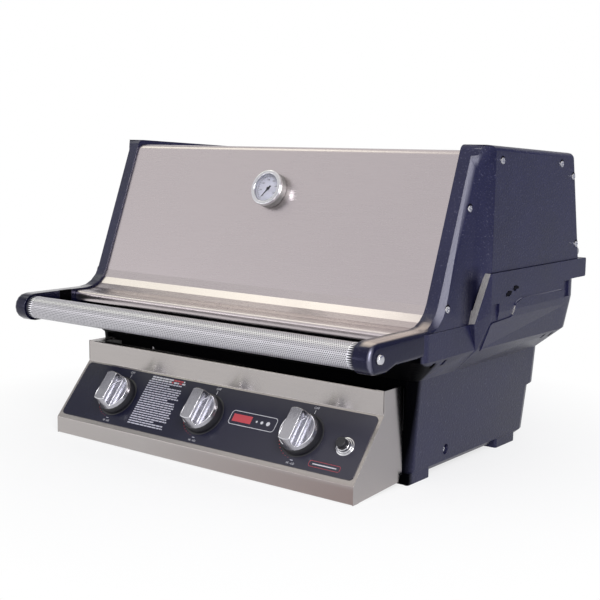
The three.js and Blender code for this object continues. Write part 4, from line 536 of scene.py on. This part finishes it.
# %% Finish every piece of the model
finish_of = {
    "powder_coat": (powder_coat, 0.9), "hood_steel": (hood_steel, 0.35),
    "plain_steel": (plain_steel, 0.3), "handle_mesh": (handle_mesh, 0.2),
    "handle_core": (plain_steel, 0.3), "chrome": (chrome, 0.4), "dial": (dial_white, 0.0),
    "pointer": (ink_black, 0.0), "lens": (clear_glass, 0.0), "brass": (brass, 0.3),
    "panel_steel": (panel_steel, 0.35), "label_film": (label_film, 0.1),
    "black_plastic": (black_plastic, 0.3), "burner_steel": (burner_steel, 0.2),
    "ceramic": (white_ceramic, 0.3), "cooking_grid": (grid_steel, 0.3),
}
slot_of = {entry["node"]: entry["material_slot"] for entry in frame["record"]["subparts"]}
merge_distance, coplanar = 2e-6, math.radians(1)


def refined(node, material, edge):
    mesh = nodes[node].data.copy()
    if "custom_normal" in mesh.attributes:
        mesh.attributes.remove(mesh.attributes["custom_normal"])
    work = bmesh.new()
    work.from_mesh(mesh)
    bmesh.ops.remove_doubles(work, verts=work.verts, dist=merge_distance)
    bmesh.ops.dissolve_limit(work, angle_limit=coplanar, verts=work.verts, edges=work.edges)
    soft_lines = round_front(work) if node in rounded_fronts else set()
    wide = {face: 2 * face.calc_area() / face.calc_perimeter() > 6 * MM for face in work.faces}
    for line in work.edges:
        limit = math.radians(2 if all(wide[face] for face in line.link_faces) else 32)
        line.smooth = line.calc_face_angle(math.pi) < limit or line in soft_lines
    for face in work.faces:
        face.smooth = True
    work.to_mesh(mesh)
    work.free()
    is_knob = node.startswith("knob_")
    mesh.materials.clear()
    for finish in ((knob_steel, chrome) if is_knob else (material,)):
        mesh.materials.append(finish)
    piece = add_object(node + "_finished", mesh)
    if edge:
        rounding = piece.modifiers.new("edge", "BEVEL")
        rounding.width, rounding.segments = (0.7 if is_knob else edge) * MM, 2
        rounding.limit_method = "ANGLE"
        rounding.angle_limit = math.radians(50 if node in rounded_fronts else 40)
        if is_knob:
            rounding.material = 1
    flat_first = piece.modifiers.new("flat faces first", "WEIGHTED_NORMAL")
    flat_first.keep_sharp, flat_first.weight = True, 80
    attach(piece, nodes[node]["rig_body"])
    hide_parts(node)
    return piece


finished = {}
turned_anew = {"thermometer_case", "igniter_ring", "igniter_button"}
for node in sorted(set(nodes) - turned_anew):
    material, edge = finish_of[slot_of[node]]
    finished[node] = refined(node, firebox_coat if node == "firebox_casting" else material, edge)
for vertex in finished["handle_tube"].data.vertices:
    vertex.co.y = handle_y + (vertex.co.y - handle_y) * mesh_swell
    vertex.co.z = handle_z + (vertex.co.z - handle_z) * mesh_swell
faces = sum(len(piece.data.polygons) for piece in finished.values())
print("pieces finished", len(finished), "faces", faces)

# %% [markdown]
# ## Putting small things on a surface
# Screws and bolts sit on castings whose faces lean and step. Measuring every seat by hand
# invites mistakes, so each one is found with a ray: it starts outside, flies at the casting
# and stops at the first face, and that face says where the screw head goes and which way it
# looks.

# %% A ray that finds the seat of a screw
seats, far_out = {}, 500


def seat_on(node, start, direction):
    if node not in seats:
        work = bmesh.new()
        work.from_mesh(nodes[node].data)
        seats[node] = BVHTree.FromBMesh(work)
        work.free()
    return seats[node].ray_cast(start, direction)[:2]


def on_cap(side, sign, y, z):
    return seat_on("lid_end_cap_" + side, spot(sign * far_out, y, z), Vector((-sign, 0, 0)))


def facing(point, outward, spin=0.0):
    turn_to = outward.to_track_quat("Z", "Y").to_matrix().to_4x4()
    return Matrix.Translation(point) @ turn_to @ Matrix.Rotation(spin, 4, "Z")


print("a cap screw sits at", on_cap("right", 1, -59, 451)[0])

# %% [markdown]
# ## The screws of the end caps
# Six pan-head screws hold each end cap to the hood sheets. A pan head is a low dome with a
# cross recess. It is turned from a profile like a part on a lathe, then the cross is sunk
# into the dome by lowering the vertices that lie inside it.

# %% Turn and recess a screw head
def mesh_of(work, material):
    """Turn a finished solid into a mesh with one material."""
    bmesh.ops.recalc_face_normals(work, faces=work.faces)
    mesh = bpy.data.meshes.new("solid")
    work.to_mesh(mesh)
    work.free()
    mesh.materials.append(material)
    return mesh


def ring_wall(work, lower, upper):
    """Join two rings of vertices, or a ring and the single vertex of a tip."""
    count = max(len(lower), len(upper))
    made = []
    for i in range(count):
        j = (i + 1) % count
        foot = (lower[0],) if len(lower) == 1 else (lower[i], lower[j])
        head = (upper[0],) if len(upper) == 1 else (upper[j], upper[i])
        made.append(work.faces.new(foot + head))
    return made


def turned(profile, sides, material):
    work = bmesh.new()
    rings = []
    for radius, height in profile:
        corners = [around(radius * MM, math.tau * i / sides) for i in range(sides if radius else 1)]
        rings.append([work.verts.new((x, y, height * MM)) for x, y in corners])
    for lower, upper in zip(rings, rings[1:]):
        ring_wall(work, lower, upper)
    mesh = mesh_of(work, material)
    mesh.polygons.foreach_set("use_smooth", [True] * len(mesh.polygons))
    mesh.set_sharp_from_angle(angle=math.radians(40))
    return mesh


def pan_head(radius, height, slot_half, slot_depth):
    profile = [(0, -0.3), (radius, -0.3), (radius, height * 0.35), (radius * 0.93, height * 0.7)]
    profile += [(radius * share, height * (1 - 0.3 * share * share))
                for share in (0.8, 0.66, 0.5, 0.34, 0.2, 0.1)]
    mesh = turned(profile + [(0, height)], 48, chrome)
    for vertex in mesh.vertices:
        x, y = abs(vertex.co.x), abs(vertex.co.y)
        in_cross = min(x, y) < slot_half * MM and max(x, y) < radius * 0.7 * MM
        if in_cross and vertex.co.z > height * 0.6 * MM:
            vertex.co.z -= slot_depth * MM
    return mesh


screw_mesh = pan_head(4.9, 2.4, 0.85, 1.3)
print("a screw head has", len(screw_mesh.vertices), "vertices")

# %% Set the screws into both end caps
cap_screws = [(-59, 451), (134, 445), (177.5, 425), (199, 318), (-117, 385.5), (-170, 251)]


def at_cap_screws(name, mesh, shift_y=0.0, shift_z=0.0, spin=0.0):
    for side, sign in SIDES:
        for count, (y, z) in enumerate(cap_screws):
            seat = facing(*on_cap(side, sign, y + shift_y, z + shift_z), count * spin)
            fitted(f"{name}_{side}_{count + 1}", mesh, seat, "lid")


at_cap_screws("cap_screw", screw_mesh, spin=0.7)
print("cap screws", 2 * len(cap_screws))

# %% [markdown]
# ## Recesses and the screws of the firebox
# Every cap screw sits in a shallow round recess, and low light fills one side of it with
# shadow. A dark disc a hair above the casting, set off a little from the screw, paints that
# shadow as a crescent without cutting the casting. Three more screws belong to the firebox:
# one low on each side wall and a small one that shows above the panel.

# %% Painted shadow discs of the recesses, then the firebox screws
recess_shadow_mesh = turned([(0, 0.02), (6.2, 0.02), (6.2, 0.12), (0, 0.12)], 40, shade_and_seam_black)
seat = facing(*seat_on("firebox_casting", spot(-195.2, -far_out, 133.1), Vector((0, 1, 0))))
fitted("panel_screw", pan_head(2.7, 1.6, 0.5, 0.8), seat, "firebox")
at_cap_screws("screw_recess", recess_shadow_mesh, shift_y=1.3, shift_z=1.1)
point, normal = seat_on("firebox_casting", spot(far_out, -93, 33), Vector((-1, 0, 0)))
for side, sign in SIDES:
    point.x, normal.x = sign * abs(point.x), sign * abs(normal.x)
    fitted("wall_screw_" + side, pan_head(4.6, 1.8, 0.8, 0.9), facing(point, normal), "firebox")
print("recesses", 2 * len(cap_screws), "and firebox screws", 3)

# %% [markdown]
# ## Milled edges of the side wings
# On each side the casting rises in a short wing, and its slanted front edge was milled after
# coating, so bare metal shows as one bright strip. The strip has to follow the casting
# exactly, so its faces are taken from the casting itself and lifted by a hair.

# %% Lift the milled faces off the casting
wing_inside, wing_foot, wing_tip = 337, 221, 296


def is_milled(face, sign):
    x, _, z = (v / MM for v in face.calc_center_median())
    leans = face.normal.y < -0.93 and 0.28 < face.normal.z < 0.38
    return leans and sign * x > wing_inside and wing_foot < z < wing_tip


for side, sign in SIDES:
    work = bmesh.new()
    work.from_mesh(nodes["firebox_casting"].data)
    others = [face for face in work.faces if not is_milled(face, sign)]
    bmesh.ops.delete(work, geom=others, context="FACES")
    mesh = bpy.data.meshes.new("milled strip")
    work.to_mesh(mesh)
    work.free()
    mesh.materials.append(milled_edge)
    strip = fitted("wing_edge_" + side, mesh, Matrix(), "firebox")
    skin = strip.modifiers.new("skin", "SOLIDIFY")
    skin.thickness, skin.offset = 0.2 * MM, 1.0
    print(strip.name, "faces", len(mesh.polygons))

# %% [markdown]
# ## The lid gauge
# The gauge has a satin case and a thick, rounded bezel of polished chrome, which catches the
# light as bright crescents. Both are turned here with fuller profiles than a drawing needs,
# and the case takes the place of the plain one.

# %% Place, case and bezel of the gauge
(foot_y, foot_z), (brow_y, brow_z), up_the_slope, sunk = (-192.8, 222.7), (-101.5, 466), 188, 3
slope = Vector((0, brow_y - foot_y, brow_z - foot_z)).normalized()
gauge_out = Vector((0, -slope.z, slope.y))
gauge_at = spot(0, foot_y, foot_z) + slope * up_the_slope * MM - gauge_out * sunk * MM
gauge_place = placed_axes(gauge_at, Vector((1, 0, 0)), slope, gauge_out)
bezel = [around(2.5, a, 26.1, 15.5) for a in (0.0, 0.4, 0.8, 1.2, math.pi / 2)]
lip = [around(1.4, a, 23.4, 16.6) for a in (math.pi / 2, 2.1, 2.6, math.pi)]
bezel_profile = [(22.0, 12.4), (28.2, 12.4), *bezel, *lip, (22.0, 12.4)]
case_profile = [(0, -58), (3, -58), (4, -56), (4, 0.3), (27.4, 0.3), (28.2, 1.0), (28.2, 11.4),
                (27.6, 12.0), (27.6, 12.5), (24.3, 12.5), (24.3, 9.0), (0, 9.0)]
shell = fitted("gauge_case", turned(case_profile, 96, case_steel), gauge_place, "lid")
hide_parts("thermometer_case")
fitted("gauge_bezel", turned(bezel_profile, 96, chrome), gauge_place, "lid")
print("the gauge sits at", gauge_at)

# %% [markdown]
# ## Ink that lies on a plate
# Dial marks and panel marks are printed. A print could be drawn in the material, but ink as
# its own thin solid stays sharp at any distance. Each mark is an outline on the plate, which
# is raised by a few hundredths of a millimetre.

# %% Print outlines on a plate
INK_LAYER, PLATE_TOP = 0.06, 0.3 + 0.8


def outline_prisms(outlines, bottom, top, material):
    work = bmesh.new()
    for outline in outlines:
        lower, upper = [[work.verts.new(mm(x, y, height)) for x, y in outline]
                        for height in (bottom, top)]
        work.faces.new(list(reversed(lower)))
        work.faces.new(upper)
        ring_wall(work, lower, upper)
    return mesh_of(work, material)


def bar(x0, y0, x1, y1, width):
    along = Vector((x1 - x0, y1 - y0)).normalized()
    side = Vector((-along.y, along.x)) * width / 2
    return [(x0 - side.x, y0 - side.y), (x1 - side.x, y1 - side.y),
            (x1 + side.x, y1 + side.y), (x0 + side.x, y0 + side.y)]


def disc(x, y, radius, sides=16):
    return [around(radius, math.tau * i / sides, x, y) for i in range(sides)]


def lettering(text, size, x, y, bottom, material):
    curve = bpy.data.curves.new("lettering", "FONT")
    curve.body, curve.size, curve.align_x, curve.align_y = text, size * MM, "CENTER", "CENTER"
    curve.resolution_u = 3
    curve.extrude = INK_LAYER / 2 * MM
    scratch = add_object("outline", curve)
    drawn = scratch.evaluated_get(bpy.context.evaluated_depsgraph_get())
    mesh = bpy.data.meshes.new_from_object(drawn)
    bpy.data.objects.remove(scratch)
    bpy.data.curves.remove(curve)
    mesh.transform(Matrix.Translation(mm(x, y, bottom + INK_LAYER / 2)))
    mesh.materials.clear()
    mesh.materials.append(material)
    return mesh


print("ink lies", INK_LAYER, "mm thick")

# %% Marks and numbers of the dial
dial_top = 9 + PLATE_TOP
start_angle, sweep, mark_steps, rim_steps, numbers = 232, 260, 26, 60, 7


def dial_angle(share):
    return math.radians(start_angle - sweep * share)


marks = []
for step in range(mark_steps + 1):
    a = dial_angle(step / mark_steps)
    inner = 17.6 if step % 2 == 0 else 18.7
    marks.append(bar(*around(inner, a), *around(20.2, a), 0.45))
rim = [around(20.6, dial_angle(i / rim_steps)) for i in range(rim_steps + 1)]
marks += [bar(*a, *b, 0.35) for a, b in zip(rim, rim[1:])]
dial_marks = outline_prisms(marks, dial_top, dial_top + INK_LAYER, ink_black)
fitted("dial_marks", dial_marks, gauge_place, "lid")
for number in range(numbers):
    a = dial_angle(number / (numbers - 1))
    text = lettering(str(100 + 100 * number), 3.4, *around(14.6, a), dial_top, ink_black)
    fitted(f"dial_number_{number + 1}", text, gauge_place, "lid")
print("dial marks", len(marks))

# %% [markdown]
# ## Prints on the control panel
# The dark film carries an OFF mark with a tick over each knob, a row of growing red dots for
# the flame and a HI and LO mark below it, a block of plain rules and two plain frames. All of
# them are placed in the panel's own plane, with X along the panel and Y up its slope.

# %% Frame of the panel
panel_up, panel_out = Vector((0, 0.64472, 0.76443)), Vector((0, -0.76443, 0.64472))
panel_place = placed_axes(spot(0, -241, 108.8), Vector((1, 0, 0)), panel_up, panel_out)
knob_at = {"left": -186.6, "center": -2.1, "right": 182.4}
knob_down = 53


def on_film(name, outlines, material):
    mesh = outline_prisms(outlines, PLATE_TOP, PLATE_TOP + INK_LAYER, material)
    fitted(name, mesh, panel_place, "firebox")


def film_text(name, text, size, x, y):
    mesh = lettering(text, size, x, y, PLATE_TOP, pale_ink)
    fitted(name, mesh, panel_place, "firebox")


def frame_lines(x0, y0, x1, y1, corner, width):
    points = []
    for x, y, begin in ((x1 - corner, y1 - corner, 0), (x0 + corner, y1 - corner, 90),
                        (x0 + corner, y0 + corner, 180), (x1 - corner, y0 + corner, 270)):
        points += [around(corner, math.radians(begin + 15 * i), x, y) for i in range(7)]
    return [bar(*a, *b, width) for a, b in zip(points, points[1:] + points[:1])]


print("film surface lies", PLATE_TOP, "mm above the panel")

# %% Marks round each knob
dot_ring, first_dot, dot_step, dot_count = 36.5, 186, 9, 9
for side, x in knob_at.items():
    film_text(f"off_mark_{side}", "OFF", 5.2, x + 3, -8.4)
    on_film(f"off_tick_{side}", [bar(x + 3, -11.6, x + 3, -17.6, 0.9)], pale_ink)
    film_text(f"low_mark_{side}", "HI - LO", 4.4, x, -knob_down - 43.5)
    y = -knob_down - 38.6
    on_film(f"low_tick_{side}", [bar(x - 2.4, y, x + 2.4, y, 0.9)], grey_ink)
    dots = []
    for step in range(dot_count):
        middle = around(dot_ring, math.radians(first_dot + dot_step * step), x, -knob_down)
        dots.append(disc(*middle, 1.25 - 0.1 * step))
    on_film(f"flame_dots_{side}", dots, red_ink)
print("knob marks", len(knob_at))

# %% Plain rules and frames
dice = random.Random(11)
line_count, line_pitch, title_lines, short_lines = 22, 3.95, 2, (3, 9, 19)
rules, titles, red_words = [], [], []
for line in range(line_count):
    y = -8 - line_pitch * line
    title = line < title_lines
    x = -141.5 + (3 if title else 0)
    stop = -66 + dice.uniform(-9, 4) - (22 if line in short_lines else 0)
    while x < stop:
        length = dice.uniform(3.0, 9.5)
        word = bar(x, y, min(x + length, stop), y, 2.5 if title else 1.9)
        chosen = red_words if title and dice.random() < 0.25 else titles if title else rules
        chosen.append(word)
        x += length + dice.uniform(0.7, 1.3)
on_film("plain_rules", rules, grey_ink)
on_film("plain_titles", titles, pale_ink)
on_film("red_words", red_words, red_ink)
on_film("badge_frame", frame_lines(46, -58, 131, -36, 5, 0.9), pale_ink)
on_film("badge_bar", [[(51, -53), (86, -53), (86, -41), (51, -41)]], red_ink)
on_film("badge_dots", [disc(96, -47, 1.6), disc(105.5, -47, 2.4), disc(117, -47, 3.3)], pale_ink)
on_film("corner_frame", frame_lines(212, -94, 264, -85.5, 3, 0.5), red_ink)
on_film("corner_rule", [bar(218, -89.8, 258, -89.8, 1.5)], pale_ink)
print("rules", len(rules))

# %% [markdown]
# ## Seams of the panel
# The folded sheet of the panel does not quite close where its side meets its face. The gap
# could be cut into the sheet, but a slim dark box on each side shows the same line.

# %% A slim box for each seam
def slim_box(corner_a, corner_b, material):
    (x0, y0, z0), (x1, y1, z1) = corner_a, corner_b
    outline = [(x0, z0), (x1, z0), (x1, z1), (x0, z1)]
    work = bmesh.new()
    near, far = [[work.verts.new(spot(x, y, z)) for x, z in outline] for y in (y0, y1)]
    work.faces.new(near)
    work.faces.new(list(reversed(far)))
    ring_wall(work, far, near)
    bmesh.ops.recalc_face_normals(work, faces=work.faces)
    bmesh.ops.bevel(work, geom=list(work.edges), offset=0.08 * MM, segments=1, affect="EDGES")
    return mesh_of(work, material)


for side, sign in SIDES:
    seam = slim_box((sign * 292.55, -241.12, 111.5), (sign * 293.35, -240.9, 143), shade_and_seam_black)
    fitted("panel_seam_" + side, seam, Matrix(), "firebox")
print("panel seams", 2)

# %% [markdown]
# ## Painted slot shade and a pale ridge on the side walls
# Two short slots are cast into each side wall and a ridge runs back from them. Thin overlays on
# the wall show both: black ones, a little larger than the cast slots, paint the shade inside
# them, and a pale one runs along the ridge.

# %% Overlays on the side walls
wall_side, ridge_width = 365, 1.6
slot_outlines = [[(-39, 257.5), (-24, 259), (-20.5, 264), (-28, 265.2), (-38, 262)],
                 [(-19, 265.5), (-1, 265.8), (1, 268), (-6, 271), (-12, 270.5)]]
ridge_line = [(-10, 233), (-6.5, 247), (6, 250.3), (146, 250.3)]
ridge_outlines = [bar(*a, *b, ridge_width) for a, b in zip(ridge_line, ridge_line[1:])]
for side, sign in SIDES:
    wall_place = placed_axes(spot(sign * wall_side, 0, 0), Vector((0, sign, 0)),
                             Vector((0, 0, 1)), Vector((sign, 0, 0)))
    for name, outlines, material in (("side_slots", slot_outlines, shade_and_seam_black),
                                     ("side_ridge", ridge_outlines, ridge_coat)):
        turned_over = [[(sign * y, z) for y, z in outline] for outline in outlines]
        mesh = outline_prisms(turned_over, -0.3, 0.5, material)
        fitted(f"{name}_{side}", mesh, wall_place, "firebox")
print("side overlays", 2 * (len(slot_outlines) + len(ridge_outlines)))

# %% [markdown]
# ## Painted highlights on the knobs
# The ridges of a knob catch the light and look brighter than the faces between them. Three
# thin beads of near-white metal paint that highlight along the ridges on each side of a knob:
# the rim of the drum, the crease at the foot of the grip and the curved top of its flank. A
# black skirt closes the foot of the knob, and a black ring under it on the panel is painted
# shadow.

# %% A round bead along a line
def bead(lines, radius, material, sides=8):
    work = bmesh.new()
    for points in lines:
        points = [Vector(point) for point in points]
        rings = []
        for i, point in enumerate(points):
            along = (points[min(i + 1, len(points) - 1)] - points[max(i - 1, 0)]).normalized()
            first = along.cross(Vector((0.13, 0.21, 0.97))).normalized()
            second = along.cross(first)
            thin = 0.45 if i in (0, len(points) - 1) else 1.0
            corners = [around(1.0, math.tau * k / sides) for k in range(sides)]
            rings.append([work.verts.new((point + (first * x + second * y) * radius * thin) * MM)
                          for x, y in corners])
        for lower, upper in zip(rings, rings[1:]):
            for face in ring_wall(work, lower, upper):
                face.smooth = True
        work.faces.new(list(reversed(rings[0])))
        work.faces.new(rings[-1])
    return mesh_of(work, material)


print("bead helper ready")

# %% Beads, skirts and painted shadow rings of the three knobs
flank_arc = [(20.5, 20.3), (16, 24.6), (11, 28.6), (6, 32.2), (1, 35.3), (-4, 37.2), (-10, 37.9),
             (-16, 37.9), (-20.5, 37.4), (-23.4, 34.5), (-24.6, 30), (-25.2, 24.8), (-25.4, 20.3)]
skirt_profile = [(28, 4.7), (32.2, 4.7), (32.2, 7.8), (30.2, 13.4), (29.2, 13.8), (28, 13.8),
                 (28, 4.7)]
shadow_ring_profile = [(26, 1.12), (33.9, 1.12), (33.9, 1.5), (33.3, 1.85), (26, 1.85), (26, 1.12)]
crease_x, crease_top, drum_rim, drum_top, beside, bead_radius = 10.2, 19.3, 27.7, 19.0, 60, 0.5
for side, x in knob_at.items():
    knob = "knob_" + side
    place = panel_place @ Matrix.Translation(mm(x, -knob_down, 0))
    to_knob = place.inverted()
    lines = []
    for sign in (-1, 1):
        flank = []
        inward = place.to_3x3() @ Vector((-sign, 0, 0))
        for along_grip, height in flank_arc:
            point, _ = seat_on(knob, place @ mm(sign * beside, along_grip, height), inward)
            if point:
                flank.append(to_knob @ point / MM)
        crease = [(sign * crease_x, y, crease_top) for y in (25.2, 18, 9, 0, -9, -18, -25.2)]
        rim = [around(drum_rim, math.radians(a)) for a in range(24, 160, 6)]
        lines += [flank, crease, [(sign * y, x, drum_top) for x, y in rim]]
    ridges, skirt, shadow_ring = [bead(lines, bead_radius, bright_points_and_highlights),
                           turned(skirt_profile, 72, black_plastic),
                           turned(shadow_ring_profile, 64, black_plastic)]
    # The beads are painted highlights.
    fitted("knob_ridges_" + side, ridges, place, knob)
    fitted("knob_skirt_" + side, skirt, place, knob)
    # A painted shadow ring on the panel under the knob.
    fitted("knob_seal_" + side, shadow_ring, place, "firebox")
print("knobs dressed", len(knob_at))

# %% [markdown]
# ## Cut ends of the handle mesh
# The raised mesh stops a little short of each arm and ends in a crown of small points. Every
# point is a thin blade, wide at the mesh and sharp at its tip.

# %% Crowns of points
def crown(count, radius, foot_x, tip_x, half_width, rise):
    work = bmesh.new()
    spread = half_width / radius
    for k in range(count):
        middle = math.tau * (k + 0.5) / count
        layers = []
        for r in (radius, radius + rise):
            outline = ((middle - spread, foot_x), (middle + spread, foot_x), (middle, tip_x))
            layers.append([work.verts.new(mm(x, *around(r, angle))) for angle, x in outline])
        work.faces.new(layers[0])
        work.faces.new(list(reversed(layers[1])))
        for i, j in ((0, 1), (1, 2), (2, 0)):
            work.faces.new((layers[0][j], layers[0][i], layers[1][i], layers[1][j]))
    return mesh_of(work, bright_points_and_highlights)


for side, sign in SIDES:
    points = crown(34, 17.3, sign * 306.5, sign * 314.5, 1.15, 0.45)
    fitted("handle_crown_" + side, points, Matrix.Translation((0, handle_y, handle_z)), "lid")
print("crowns", 2)

# %% [markdown]
# ## The igniter
# The igniter is a black push button in a stepped chrome collar with a washer round it. The
# collar is low and the button stands well out of it, because a thumb has to press it past
# its click.

# %% Collar, washer and button
igniter_place = panel_place @ Matrix.Translation(mm(257, -56, 0))
collar_profile = [(7.9, 1.4), (11.8, 1.4), (11.8, 4.2), (11.3, 4.8), (10.2, 5.0), (10.0, 5.6),
                  (10.0, 8.6), (9.6, 9.2), (9.0, 9.4), (7.9, 9.0), (7.9, 1.4)]
washer_profile = [(11, 1.12), (14.4, 1.12), (14.4, 2.2), (13.9, 2.9), (12.6, 3.3), (11, 3.3),
                  (11, 1.12)]
button_profile = [(0, -22), (7.6, -22), (7.6, 15.6), (7.3, 16.5), (6.5, 17.0), (4.5, 16.9),
                  (2, 16.7), (0, 16.6)]
collar, washer = [turned(profile, 72, chrome) for profile in (collar_profile, washer_profile)]
button = turned(button_profile, 64, black_plastic)
ring = fitted("igniter_collar", collar, igniter_place, "firebox")
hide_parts("igniter_ring")
fitted("igniter_washer", washer, igniter_place, "firebox")
thumb = fitted("igniter_push_button", button, igniter_place, "igniter_button")
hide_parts("igniter_button")
print("igniter collar stands", max(height for _, height in collar_profile), "mm high")

# %% [markdown]
# ## A studio
# The photograph has a white ground and even, soft light, with one stronger lamp on the right
# that models the castings. A pale floor keeps the shadow under the grill. Only rays that come
# from the camera, or that leave metal or glass, see the white surroundings, so the white adds
# no light to the grill itself.

# %% Floor
def empty_tree(holder):
    holder.use_nodes = True
    holder.node_tree.nodes.clear()
    return holder.node_tree


floor_half, floor_drop, shadow_near, shadow_far = 30, 0.0002, 0.30, 0.70
corners = [(x * floor_half, y * floor_half, 0) for x, y in ((-1, -1), (1, -1), (1, 1), (-1, 1))]
floor_mesh = bpy.data.meshes.new("floor")
floor_mesh.from_pydata(corners, [], [(0, 1, 2, 3)])
floor = add_object("floor", floor_mesh)
floor.location.z = -floor_drop
floor_material = bpy.data.materials.new("pale floor")
tree = empty_tree(floor_material)
place = coordinate(tree, "Object")
pale = mix_color(noise(place, 40.0), (0.90, 0.90, 0.91), (0.93, 0.93, 0.94))
diffuse = fed("ShaderNodeBsdfDiffuse", {"Color": pale}).outputs[0]
white = put(tree, "ShaderNodeEmission", {"Color": (1, 1, 1, 1), "Strength": 1.0}).outputs[0]
reach = fed("ShaderNodeVectorMath", {0: place}, operation="LENGTH").outputs["Value"]
far = map_range(reach, shadow_near, shadow_far, 0.72, 1.0)
rays = put(tree, "ShaderNodeLightPath").outputs
shiny = times(rays["Is Glossy Ray"], map_range(split(place)["X"], 0.5, -0.3, 0.15, 1.0))
seen = plus(rays["Is Camera Ray"], shiny, rays["Is Transmission Ray"], clamp=True)
blend = fed("ShaderNodeMixShader", {0: times(far, seen), 1: diffuse, 2: white})
fed("ShaderNodeOutputMaterial", {"Surface": blend.outputs[0]})
floor_mesh.materials.append(floor_material)
print("floor ready")

# %% [markdown]
# ## What the metal mirrors
# Bare steel shows its surroundings more than its own colour. Rays that leave it see pale
# walls, brightest on the left and under the ceiling, a dusky corner at the right rear and a
# grey patch high on the left, which together give the hood its slow change from side to side.

# %% World
world = bpy.data.worlds.new("studio")
scene.world = world
tree = empty_tree(world)
heading = split(coordinate(tree, "Generated"))
leftward = map_range(heading["X"], -0.45, -0.78)
dusk = times(map_range(heading["Y"], -0.25, 0.25), map_range(heading["X"], -0.1, 0.3))
ceiling = map_range(heading["Z"], 0.62, 0.70)
shade = times(map_range(heading["Z"], 0.47, 0.53), map_range(heading["Y"], -0.50, -0.40),
              map_range(heading["X"], -0.60, -0.68))
soft = mix_color(leftward, (0.80, 0.79, 0.81), (0.97, 0.96, 0.965))
for mask, color in ((dusk, (0.30, 0.31, 0.42)), (ceiling, (1.0, 0.97, 0.94)),
                    (shade, (0.40, 0.40, 0.42))):
    soft = mix_color(mask, soft, color)
fill_light, mirror, plain = [
    put(tree, "ShaderNodeBackground", {"Color": color, "Strength": strength}).outputs[0]
    for color, strength in (((0.9, 0.92, 1.0, 1), 0.45), (soft, 1.0), ((1, 1, 1, 1), 1.0))]
rays = put(tree, "ShaderNodeLightPath").outputs
shiny = plus(rays["Is Glossy Ray"], rays["Is Transmission Ray"], clamp=True)
unseen = fed("ShaderNodeMixShader", {0: shiny, 1: fill_light, 2: mirror}).outputs[0]
both = fed("ShaderNodeMixShader", {0: rays["Is Camera Ray"], 1: unseen, 2: plain}).outputs[0]
fed("ShaderNodeOutputWorld", {"Surface": both})
print("world ready")

# %% Lamps
def soft_lamp(name, place, aim, width, height, watts, color):
    lamp = add_object(name, bpy.data.lights.new(name, "AREA"))
    lamp.data.shape = "RECTANGLE"
    lamp.data.size, lamp.data.size_y = width, height
    lamp.data.energy = watts
    lamp.data.color = color
    lamp.location = place
    lamp.rotation_mode = "QUATERNION"
    lamp.rotation_quaternion = (Vector(aim) - Vector(place)).to_track_quat("-Z", "Y")


soft_lamp("lamp_right", (1.99, -1.73, 1.50), (0.25, -0.1, 0.25), 0.8, 1.6, 64, (1.0, 0.99, 1.0))
soft_lamp("lamp_above", (-1.75, -0.40, 2.2), (0, -0.1, 0.2), 1.0, 1.5, 7.0, (0.95, 0.98, 0.80))
soft_lamp("lamp_low_left", (-1.57, -2.20, 0.68), (0, -0.2, 0.22), 1.5, 0.25, 3, (1.0, 0.99, 1.0))
print("lamps", 3)
